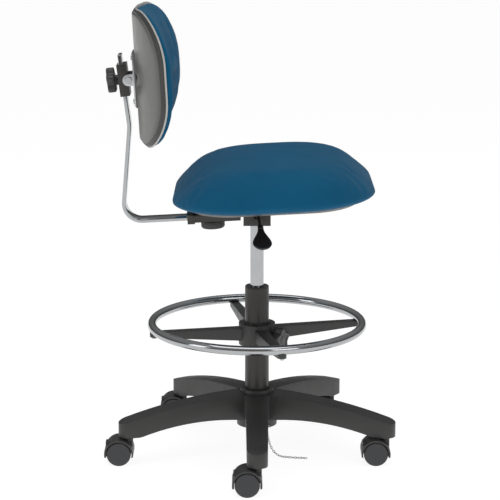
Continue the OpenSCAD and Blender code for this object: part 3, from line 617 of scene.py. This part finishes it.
# %% Cloth that swells over foam
def swell(piece, pinned, pressure, cap, voxel=5 * MM):
    """Remeshes a closed piece, inflates it as cloth, and limits how far each point may move."""
    remesh = piece.modifiers.new("Remesh", "REMESH")
    remesh.mode = "VOXEL"
    remesh.voxel_size = voxel
    settle(piece)
    mesh = piece.data
    rest = [v.co.copy() for v in mesh.vertices]
    pins = piece.vertex_groups.new(name="pinned")
    pins.add([v.index for v in mesh.vertices if pinned(v.co)], 1.0, "REPLACE")
    cloth = piece.modifiers.new("Cloth", "CLOTH")
    cloth.settings.use_pressure = True
    cloth.settings.uniform_pressure_force = pressure
    cloth.settings.effector_weights.gravity = 0
    cloth.settings.vertex_group_mass = "pinned"
    cloth.settings.quality = 4
    for step in range(1, 21):
        bpy.context.scene.frame_set(step)
    settle(piece)
    bpy.context.scene.frame_set(1)
    furthest = 0
    for vertex, before in zip(piece.data.vertices, rest):
        moved = vertex.co - before
        if moved.length > cap:
            vertex.co = before + moved * (cap / moved.length)
        furthest = max(furthest, (vertex.co - before).length)
    piece.vertex_groups.clear()
    print(piece.name, "points:", len(rest), "furthest move in millimetres:", round(1000 * furthest, 1))
    return piece


def relax(piece, rounds, factor=0.5):
    """Evens out the small steps that remeshing leaves."""
    smooth = piece.modifiers.new("Smooth", "SMOOTH")
    smooth.iterations = rounds
    smooth.factor = factor
    return settle(piece)


def map_cloth(piece, into_frame):
    """Lays the cloth over the piece from its middle outwards, as it was pulled when upholstered."""
    mesh = piece.data
    layer = mesh.uv_layers.new(name="cloth")
    flat = []
    for vertex in mesh.vertices:
        x, y, drop = into_frame(vertex.co)
        reach = math.hypot(x, y)
        spread = (reach + drop) / max(reach, 1e-6)
        flat.append((x * spread, y * spread))
    for loop in mesh.loops:
        layer.data[loop.index].uv = flat[loop.vertex_index]


# %% Make the seat cushion
CUSHION_KNOTS = [(31, 150), (31, 100), (33, 62), (35, 44), (37, 28), (41, 16), (48, 7), (57, 3), (72, 5),
                 (86, 11), (96, 19), (104, 30), (109.5, 48), (115.5, 80), (120, 110), (126, 150),
                 (130.5, 190)]
CUSHION_TOP = 130.5 * MM


def seat_under_pins(point):
    return (SEAT_FRAME.inverted() @ point).z < 50 * MM


def seat_spread(point):
    local = SEAT_FRAME.inverted() @ point
    return local.x, local.y + SEAT_FORWARD, CUSHION_TOP - local.z


cushion_rings = [seat_ring(h * MM, i * MM) for h, i in smooth_profile(CUSHION_KNOTS, 3)]
seat_cushion = new_object("seat_upholstery", *loft(cushion_rings))
swell(seat_cushion, seat_under_pins, pressure=4, cap=6 * MM)
relax(seat_cushion, 8)
rounding = seat_cushion.modifiers.new("Subdivision", "SUBSURF")
rounding.levels = rounding.render_levels = 1
settle(seat_cushion)
map_cloth(seat_cushion, seat_spread)
finish_piece(seat_cushion, "seat", "blue_fabric", nodes=("seat_cushion",), sharp=80)
print("seat cushion faces:", len(seat_cushion.data.polygons))

# %% [markdown]
# ## The seat pan
#
# Under the cushion sits a dished plastic pan with a rolled rim, which hides the plywood board. Only
# the rim shows from the side, as a thin bright line under the cloth. It is one loft that goes down
# the outside, over the rim and back along the inside.

# %% Make the seat pan
PAN_FLOOR = 16 * MM
PAN_KNOTS = [(0, 150), (0, 60), (0, 6), (1.5, -1), (9, -22), (19, -47), (25, -63), (27.6, -71),
             (28.6, -73.4), (29.2, -72.6), (28.8, -70), (26, -62), (20, -44), (11, -21), (4, -3),
             (2.5, 6), (2.5, 60), (2.5, 150)]


def pan_ring(height, grow):
    """The pan widens from its flat middle to its rim, more to the sides than to the front."""
    half_w = 115 * MM - grow
    half_d = 165 * MM - grow * 0.31
    flat = outline(half_w, half_d, min(90 * MM, 0.9 * half_w))
    return [SEAT_FRAME @ Vector((p.x, p.y - SEAT_FORWARD, PAN_FLOOR + height)) for p in flat]


pan_rings = [pan_ring(h * MM, i * MM * (1 if i < 0 else 0.7)) for h, i in PAN_KNOTS]
pan = lofted("seat_pan_moulding", pan_rings, "seat", "black_nylon", nodes=("seat_pan",), sharp=60)
print("seat pan faces:", len(pan.data.polygons))

# %% [markdown]
# ## The backrest
#
# The backrest curves round the sitter. Behind is a smooth grey shell. Its side is a dark recessed
# band with a thin pale bead, where the shell and the upholstered pad meet, and then comes the pad,
# full at its sides and thinner towards its top and bottom. The bead's pale colour is a painted
# highlight for the bright line along that edge. All of these share one curve, so one function bends
# a flat outline round the curve's axis.

# %% The leaning frame of the backrest
BACK_LEAN = math.radians(3)
PIVOT = Vector((0, 12.3, -8)) * MM
pivot_place = joint_at("back_tilt")[0]
BACK_FRAME = (Matrix.Translation(pivot_place) @ Matrix.Rotation(-BACK_LEAN, 4, "X")
              @ Matrix.Translation(-PIVOT))
BACK_HALF_W = 195 * MM
BACK_HALF_H = 137.5 * MM
BACK_CORNER = 105 * MM
BACK_RADIUS = 350 * MM
BACK_AXIS = -1.5 * MM - BACK_RADIUS
FRONT_RADIUS = 450 * MM
FRONT_AXIS = -53 * MM - FRONT_RADIUS


def curve_y(x, radius, axis=BACK_AXIS):
    return axis + math.sqrt(max(radius * radius - x * x, 0))


def back_ring(inset, radius, side_share=1.0):
    """An outline on the curved shell, inset from the edge, at a radius about the curve's axis."""
    flat = outline(BACK_HALF_W - inset * side_share, BACK_HALF_H - inset, BACK_CORNER - 0.6 * inset)
    return [BACK_FRAME @ Vector((p.x, curve_y(p.x, radius), p.y)) for p in flat]


def back_piece(name, profile, slot, **more):
    """A loft of outlines, each with an inset from the edge and a depth from the shell's rear face."""
    rings = [back_ring(inset * MM, BACK_RADIUS - depth * MM) for inset, depth in profile]
    return lofted(name, rings, "back", slot, **more)


# %% Make the shell, its band and its bead
SHELL_PROFILE = [(130, 0), (110, 0), (85, 0), (60, 0), (40, 0), (25, 0), (15, 0), (11.5, 0.3), (9.8, 1.2),
                 (9, 2.6), (9, 3.6), (11, 3.9), (30, 4), (70, 4), (130, 4)]
BAND_PROFILE = [(40, 3.6), (20, 3.6), (7, 3.6), (5.6, 3.9), (4.6, 4.8), (3.8, 5.8), (2.6, 7.4), (2.2, 8.6),
                (2.4, 9.4), (12, 9.5), (40, 9.5)]
BEAD_PROFILE = [(8, 8.2), (3, 8), (1.2, 8.1), (0.3, 8.6), (0, 9.3), (0.3, 10), (1.2, 10.5), (3, 10.6),
                (8, 10.4)]
shell = back_piece("shell_skin", SHELL_PROFILE, "grey_shell", nodes=("back_shell",), sharp=50)
back_piece("shell_band", BAND_PROFILE, "black_nylon", sharp=60)
# The bead's pale colour is a painted highlight along the backrest's edge.
back_piece("shell_bead", BEAD_PROFILE, "grey_shell", material=PAINTED_GLINT_PLASTIC, sharp=70)
print("shell faces:", len(shell.data.polygons))

# %% The raised pad that the bracket is screwed to
PAD_HALF_W = 32.6 * MM
PAD_HALF_H = 58 * MM
PAD_PROFILE = [(3.2, 0), (1.0, 0), (0.3, -0.2), (0, -0.8), (0, -3.4), (3.2, -3.5)]
pad_rings = [[BACK_FRAME @ Vector((p.x, depth * MM, p.y + PIVOT.z))
              for p in outline(PAD_HALF_W - inset * MM, PAD_HALF_H - inset * MM, 5 * MM)]
             for inset, depth in PAD_PROFILE]
shell_pad = lofted("shell_pad", pad_rings, "back", "grey_shell", sharp=60)
print("pad faces:", len(shell_pad.data.polygons))

# %% [markdown]
# The pad of the backrest is the same kind of upholstery as the seat, so it is made in the same way:
# a slightly small loft, cloth pressure, a cap and a subdivision. Its profile runs from the bead to
# the front. The front's inset is larger at the top and bottom than at the sides.

# %% Make the back cushion
BACK_BASE = 10.3 * MM
PAD_KNOTS = [(0.0, 60), (0.0, 25), (0.0, 8), (0.04, 3), (0.16, 2), (0.32, 5), (0.5, 13), (0.68, 27),
             (0.83, 45), (0.93, 64), (0.985, 86), (1.0, 106), (1.0, 122)]
PAD_SIDE_SHARE = 0.42


def back_cushion_ring(share, inset):
    """share is 0 on the bead and 1 on the front face."""
    flat = outline(BACK_HALF_W - inset * PAD_SIDE_SHARE, BACK_HALF_H - inset, BACK_CORNER - 0.5 * inset)
    ring = []
    for p in flat:
        rear = curve_y(p.x, BACK_RADIUS - BACK_BASE)
        front = curve_y(p.x, FRONT_RADIUS, FRONT_AXIS)
        ring.append(BACK_FRAME @ Vector((p.x, rear + (front - rear) * share, p.y)))
    return ring


def back_rear_pins(point):
    local = BACK_FRAME.inverted() @ point
    return local.y > curve_y(local.x, BACK_RADIUS - BACK_BASE) - 4 * MM


def back_spread(point):
    local = BACK_FRAME.inverted() @ point
    drop = max(local.y - curve_y(local.x, FRONT_RADIUS, FRONT_AXIS), 0)
    return local.x, local.z, drop


back_rings = [back_cushion_ring(share, inset * MM) for share, inset in smooth_profile(PAD_KNOTS, 3)]
back_cushion = new_object("back_upholstery", *loft(back_rings))
swell(back_cushion, back_rear_pins, pressure=4, cap=4 * MM)
relax(back_cushion, 6)
rounding = back_cushion.modifiers.new("Subdivision", "SUBSURF")
rounding.levels = rounding.render_levels = 1
settle(back_cushion)
map_cloth(back_cushion, back_spread)
finish_piece(back_cushion, "back", "blue_fabric", nodes=("back_cushion",), sharp=80)
print("back cushion faces:", len(back_cushion.data.polygons))

# %% [markdown]
# ## Column, cylinder and foot ring
#
# These are turned or bent from round stock, so they are lathe work. The profile is written as pairs
# of radius and height, with a small round on each visible edge, because light catches there.

# %% Turned parts on the column
UPRIGHT = Matrix.Identity(4)


def node_span(node):
    """A turned node's largest radius, bottom and top."""
    low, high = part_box(node)
    return (high.x - low.x) / 2, low.z, high.z


tube_radius, tube_low, tube_high = node_span("column_tube")
TUBE_WALL = 1.8 * MM
TAPER = 48 * MM
turned("column_sleeve", [
    (tube_radius - TUBE_WALL, tube_low), (tube_radius - 1 * MM, tube_low), (tube_radius, tube_low + TAPER),
    (tube_radius, tube_high - 0.8 * MM), (tube_radius - 0.5 * MM, tube_high - 0.2 * MM),
    (tube_radius - 1.1 * MM, tube_high), (tube_radius - TUBE_WALL, tube_high)],
    UPRIGHT, "base", "black_steel", 96, nodes=("column_tube",))

lip_radius, _, lip_high = node_span("column_bushing")
cylinder_radius, cylinder_low, cylinder_high = node_span("gas_cylinder")
BORE = cylinder_radius + 0.1 * MM
BUSH_DEPTH = 30 * MM
BUSH_WALL = 4 * MM
turned("column_bush", [
    (BORE, tube_high - BUSH_DEPTH), (BORE + BUSH_WALL, tube_high - BUSH_DEPTH), (BORE + BUSH_WALL, tube_high),
    (lip_radius, tube_high + 0.1 * MM), (lip_radius, lip_high - 1 * MM),
    (lip_radius - 0.8 * MM, lip_high - 0.2 * MM), (lip_radius - 2 * MM, lip_high), (BORE, lip_high)],
    UPRIGHT, "base", "black_acetal", 96, nodes=("column_bushing",))

turned("lift_cylinder", [
    (cylinder_radius - 3 * MM, cylinder_low), (cylinder_radius - 0.8 * MM, cylinder_low),
    (cylinder_radius, cylinder_low + 0.8 * MM), (cylinder_radius, cylinder_high - 23 * MM),
    (cylinder_radius - 0.6 * MM, cylinder_high - 0.5 * MM), (cylinder_radius - 1.2 * MM, cylinder_high),
    (5 * MM, cylinder_high)],
    UPRIGHT, "seat", "chrome", 96, nodes=("gas_cylinder",))
print("column top in millimetres:", round(1000 * lip_high, 1))

# %% The foot ring
ring_low, ring_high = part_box("foot_ring")
RING_WIRE = (ring_high.z - ring_low.z) / 2
RING_RADIUS = (ring_high.x - ring_low.x) / 2 - RING_WIRE
ring_level = (ring_high.z + ring_low.z) / 2
RING_STEPS = 240
RING_SIDES = 40
ring_points = []
for k in range(RING_STEPS):
    around = 2 * math.pi * k / RING_STEPS
    outward = Vector((math.cos(around), math.sin(around), 0))
    for p in circle(RING_WIRE, RING_SIDES):
        ring_points.append(outward * (RING_RADIUS + p.x) + Vector((0, 0, ring_level + p.y)))
ring_faces = [(k * RING_SIDES + i, k * RING_SIDES + (i + 1) % RING_SIDES,
               (k + 1) % RING_STEPS * RING_SIDES + (i + 1) % RING_SIDES,
               (k + 1) % RING_STEPS * RING_SIDES + i)
              for k in range(RING_STEPS) for i in range(RING_SIDES)]
ring = finish_piece(new_object("foot_ring_tube", ring_points, ring_faces), "foot_ring", "chrome",
                    nodes=("foot_ring",))
print("foot ring diameter in millimetres:", round(2000 * (RING_RADIUS + RING_WIRE)))

# %% [markdown]
# ## Moulded and pressed parts
#
# The star base, the ring's spider, the seat plate and the brackets have the right shape already.
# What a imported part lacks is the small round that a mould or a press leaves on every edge. A bevel
# of one to three millimetres adds it, and gives each edge its line of light.

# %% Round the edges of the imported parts
ROUNDS = {
    "star_base": 3.2, "ring_spider": 1.6, "seat_plate": 0.8, "back_bracket": 0.8, "back_sleeve": 1.2,
    "j_bar": 1.6, "lever_rod": 0.6, "ring_bush": 0.8}
for node, width in ROUNDS.items():
    piece = softened(node, width * MM)
    print(piece.name, "faces:", len(piece.data.polygons))

for n in range(1, 6):
    softened(f"caster_hood_{n}", 1.0 * MM)
    for side in ("left", "right"):
        softened(f"wheel_{side}_{n}", 0.8 * MM, 2)
print("casters rounded")

# %% [markdown]
# ## Knobs
#
# The star knobs have five soft lobes and a dished top. A loft whose radius follows a cosine makes
# all five lobes at once. The depth knob is round, with a grip of fine ribs that Geometry Nodes place
# around its rim.

# %% Star knobs
STAR_RADIUS = 22.6 * MM
STAR_LOBE = 4.2 * MM
STAR_SIDES = 120
STAR_DEPTH = 17 * MM
STAR_PROFILE = [(0, 8), (0, 2.5), (0.6, 1), (2.2, 0), (14.2, 0), (16.2, 0.8), (17, 2.6), (17, 6.5),
                (15.6, 8.5), (15.2, 13), (16.3, 15.5), (16.5, 19)]


def star_ring(place, height, inset):
    """One five-lobed outline. The lobes fade out towards the middle."""
    fade = max(1 - inset / STAR_RADIUS, 0) ** 2
    ring = []
    for k in range(STAR_SIDES):
        angle = 2 * math.pi * k / STAR_SIDES
        radius = STAR_RADIUS - inset + STAR_LOBE * fade * math.cos(5 * angle)
        ring.append(place @ Vector((radius * math.cos(angle), radius * math.sin(angle), height)))
    return ring


def star_knob(name, node, joint, foot):
    """A knob whose Z axis leaves its joint outwards, and whose foot is this far along it."""
    place, axis = joint_at(joint)
    low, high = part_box(node)
    if ((low + high) / 2 - place).dot(axis) < 0:
        axis = -axis
    matrix = Matrix.Translation(place) @ axis.to_track_quat("Z", "X").to_matrix().to_4x4()
    raised = matrix @ Matrix.Translation((0, 0, foot))
    rings = [star_ring(raised, h * MM, i * MM) for h, i in STAR_PROFILE]
    stud_start = min(foot - 12 * MM, 0)
    stud = [(3 * MM, stud_start), (3.9 * MM, stud_start + MM), (3.9 * MM, foot + MM)]
    turned(name + "_stud", stud, matrix, BODY_OF[node], "zinc_steel", 24)
    return lofted(name, rings, BODY_OF[node], "knob_plastic", nodes=(node,), sharp=50)


def foot_along(node, joint):
    """How far from its joint a knob's near face is, along the axis."""
    place, axis = joint_at(joint)
    if (sum(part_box(node), Vector()) / 2 - place).dot(axis) < 0:
        axis = -axis
    reach = max((v.co - place).dot(axis) for v in frame["nodes"][node].data.vertices)
    return reach - STAR_DEPTH


for name, node, joint in (("back_star_knob", "back_knob", "back_knob_turn"),
                          ("ring_star_knob", "ring_knob", "ring_knob_turn")):
    foot = foot_along(node, joint)
    star_knob(name, node, joint, foot)
    print(name, "starts at millimetres:", round(1000 * foot, 1))

# %% A tree that sets small round bars along a path, across it or standing on it
BAR_SIDES = 8


def rib_tree(name, across, material):
    """Bars on points, turned so that each bar's length follows one fixed direction."""
    tree, start, end = new_growth(name, Count=2, Length=0.01, Thickness=0.001)
    path = add_node(tree, "GeometryNodeMeshToCurve", None, {"Mesh": start.outputs["Geometry"]})
    spaced = add_node(tree, "GeometryNodeResampleCurve", None,
                      {"Curve": path.outputs[0], "Count": start.outputs["Count"]})
    bar = add_node(tree, "GeometryNodeMeshCylinder", None,
                   {"Vertices": BAR_SIDES, "Radius": start.outputs["Thickness"],
                    "Depth": start.outputs["Length"]})
    along = add_node(tree, "FunctionNodeAlignRotationToVector", {"axis": "Z"}, {"Vector": tuple(across)})
    bars = add_node(tree, "GeometryNodeInstanceOnPoints", None,
                    {"Points": spaced.outputs[0], "Instance": bar.outputs[0],
                     "Rotation": along.outputs[0]})
    end_growth(tree, end, bars.outputs[0], material)
    return tree


def arc_points(place, radius, start_angle, end_angle, count=40):
    """Points of an arc in the XY plane of a placing matrix."""
    angles = [math.radians(start_angle + (end_angle - start_angle) * k / count) for k in range(count + 1)]
    return [place @ Vector((radius * math.cos(a), radius * math.sin(a), 0)) for a in angles]


def rib_row(name, tree, points, count, length, thickness, body, slot):
    edges = [(k, k + 1) for k in range(len(points) - 1)]
    ribs = grow(name, points, edges, tree, Count=count, Length=length, Thickness=thickness)
    return finish_piece(ribs, body, slot)


# %% The depth knob and its grip
DEPTH_KNOB_RADIUS = 24 * MM
GRIP_COUNT = 52
knob_place, knob_axis = joint_at("depth_knob_turn")
knob_top = max((v.co - knob_place).dot(knob_axis) for v in frame["nodes"]["depth_knob"].data.vertices)
knob_low = min((v.co - knob_place).dot(knob_axis) for v in frame["nodes"]["depth_knob"].data.vertices)
DEPTH_FRAME = (Matrix.Translation(knob_place + knob_axis * knob_low)
               @ knob_axis.to_track_quat("Z", "X").to_matrix().to_4x4())
DEPTH_PROFILE = [(6, 1.6), (14, 1.6), (16, 0.6), (19, 0), (21.5, 0.3), (23.2, 1.6), (24, 3.6), (24, 14.2),
                 (23.4, 15.4), (22, 16), (4, 16)]
DEPTH_STUD = 3.9 * MM
depth_profile = [(r * MM, h * MM) for r, h in DEPTH_PROFILE]
depth_profile += [(DEPTH_STUD, 16.2 * MM), (DEPTH_STUD, knob_top - knob_low)]
turned("depth_knob_cap", depth_profile, DEPTH_FRAME, "depth_knob", "knob_plastic", 96, nodes=("depth_knob",))
grip_frame = DEPTH_FRAME @ Matrix.Translation((0, 0, 9 * MM))
grip_tree = rib_tree("grip_growth", knob_axis, KNOB_PLASTIC)
grip_arc = arc_points(grip_frame, DEPTH_KNOB_RADIUS - 0.25 * MM, 0, 360 - 360 / GRIP_COUNT, 120)
grip = rib_row("depth_knob_grip", grip_tree, grip_arc, GRIP_COUNT, 10.5 * MM, 0.75 * MM,
               "depth_knob", "knob_plastic")
print("grip faces:", len(grip.data.polygons))

# %% [markdown]
# ## Caster hoods
#
# Each hood is a moulded fender over two wheels. The mould leaves fine ribs across its crown, which
# hide scratches. The same tree that made the knob's grip sets them along an arc over the hood.

# %% Ribs on the hoods
HOOD_RIBS = 15
hood_tree = rib_tree("hood_growth", (1, 0, 0), CASTER_NYLON)
for n in range(1, 6):
    low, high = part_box(f"caster_hood_{n}")
    wheel_low, wheel_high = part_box(f"wheel_left_{n}")
    axle = (wheel_low + wheel_high) / 2
    across = Vector(((low.x + high.x) / 2, axle.y, axle.z))
    place = Matrix.Translation(across) @ Matrix(((0, 0, 1), (1, 0, 0), (0, 1, 0))).to_4x4()
    radius = high.z - axle.z
    rib_row(f"hood_ribs_{n}", hood_tree, arc_points(place, radius - 0.3 * MM, 12, 66), HOOD_RIBS,
            (high.x - low.x) - 7 * MM, 0.7 * MM, f"caster_{n}", "caster_nylon")
print("ribs on five hoods:", 5 * HOOD_RIBS)

# %% [markdown]
# ## The lever's paddle
#
# The paddle is a smooth drop of glossy plastic. Its outline starts as a narrow neck and ends in a
# full round, and it is thickest in its middle, like a pebble.

# %% Make the paddle
LEVER_DROOP = math.radians(15)
LEVER_YAW = math.radians(5)
LEVER_BEND = Vector((-28 * MM, 0, joint_at("lever_lift")[0].z))
LEVER_FRAME = (Matrix.Translation(LEVER_BEND) @ Matrix.Rotation(LEVER_YAW, 4, "Z")
               @ Matrix.Rotation(-math.pi / 2 - LEVER_DROOP, 4, "Y"))
PADDLE_START = 70 * MM
PADDLE_DROOP = math.radians(12)
PADDLE_FRAME = (LEVER_FRAME @ Matrix.Translation((0, 0, PADDLE_START)) @ Matrix.Rotation(-math.pi / 2, 4, "Y")
                @ Matrix.Rotation(-PADDLE_DROOP, 4, "Y"))
PADDLE_SECTIONS = [(0, 4.6, 5.0), (2, 5.6, 5.4), (12, 6.2, 5.4), (22, 8, 5.0), (32, 12, 4.6), (42, 16.4, 4.3),
                   (52, 19.2, 4.1), (60, 18.7, 3.9), (67, 15, 3.5), (71.5, 10, 2.9), (73.6, 4.5, 1.9)]


def paddle_ring(reach, half_w, half_t):
    ring = []
    for k in range(40):
        angle = 2 * math.pi * k / 40
        side = math.copysign(abs(math.cos(angle)) ** 0.75, math.cos(angle))
        rise = math.copysign(abs(math.sin(angle)) ** 0.75, math.sin(angle))
        ring.append(PADDLE_FRAME @ Vector((reach, half_w * side, half_t * rise)))
    return ring


paddle_rings = [paddle_ring(x * MM, w * MM, t * MM) for x, w, t in smooth_profile(PADDLE_SECTIONS, 3)]
paddle = lofted("lever_paddle_moulding", paddle_rings, "lever", "lever_plastic",
                nodes=("lever_paddle",), sharp=60)
print("paddle faces:", len(paddle.data.polygons))

# %% [markdown]
# ## Floor and light
#
# The floor is plain and pale, and so wide that the camera never sees its edge. Three large soft
# lights do the work of a studio: one from above, one from the camera's side, and a weak one from
# behind for the rims. A dim world fills the rest, darker at the horizon, so that chrome has
# something to reflect.

# %% Lay the floor
FLOOR_HALF = 40
floor_corners = [(x * FLOOR_HALF, y * FLOOR_HALF, 0) for x, y in ((-1, -1), (1, -1), (1, 1), (-1, 1))]
floor = new_object("studio_floor", floor_corners, [(0, 1, 2, 3)])
paper = Finish("studio_paper", Roughness=1.0, Specular_IOR_Level=0.0, Emission_Strength=0.9)
paper.shader.inputs["Base Color"].default_value = shade(0.25, 0.25, 0.25)
paper.shader.inputs["Emission Color"].default_value = shade(1, 1, 1)
floor.data.materials.append(paper.material)
floor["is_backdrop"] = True
print("floor side in metres:", 2 * FLOOR_HALF)


# %% Hang the lights
def area_light(name, place, target, size, power):
    light = bpy.data.lights.new(name, "AREA")
    light.shape = "RECTANGLE"
    light.size, light.size_y = size
    light.energy = power
    lamp = bpy.data.objects.new(name, light)
    lamp.location = place
    lamp.rotation_euler = (Vector(target) - Vector(place)).to_track_quat("-Z", "Y").to_euler()
    bpy.context.scene.collection.objects.link(lamp)
    return lamp


area_light("top_softbox", (-0.3, 0.1, 3.0), (0, 0, 0.5), (2.6, 2.6), 32)
area_light("side_softbox", (-3.2, -1.8, 1.9), (0, 0, 0.5), (1.8, 1.8), 18)
area_light("rear_softbox", (-1.6, 3.2, 1.5), (0, 0.2, 0.6), (1.2, 2.0), 15)

world = bpy.data.worlds.new("studio_air")
bpy.context.scene.world = world
world.use_nodes = True
sky = world.node_tree
air = sky.nodes["Background"]
up = add_node(sky, "ShaderNodeTexCoord")
split = add_node(sky, "ShaderNodeSeparateXYZ", None, {"Vector": up.outputs["Generated"]})
fade = add_node(sky, "ShaderNodeValToRGB", {"stops": ((0.0, 0.08), (0.12, 0.25), (0.5, 0.7), (1.0, 1.0))},
                {"Fac": split.outputs["Z"]})
sky.links.new(fade.outputs["Color"], air.inputs["Color"])
air.inputs["Strength"].default_value = 0.4
bpy.context.scene.view_settings.view_transform = "Standard"

# %% Write the sizes and finish
low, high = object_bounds()
print("finished box in millimetres:", [round(1000 * (b - a)) for a, b in zip(low, high)])
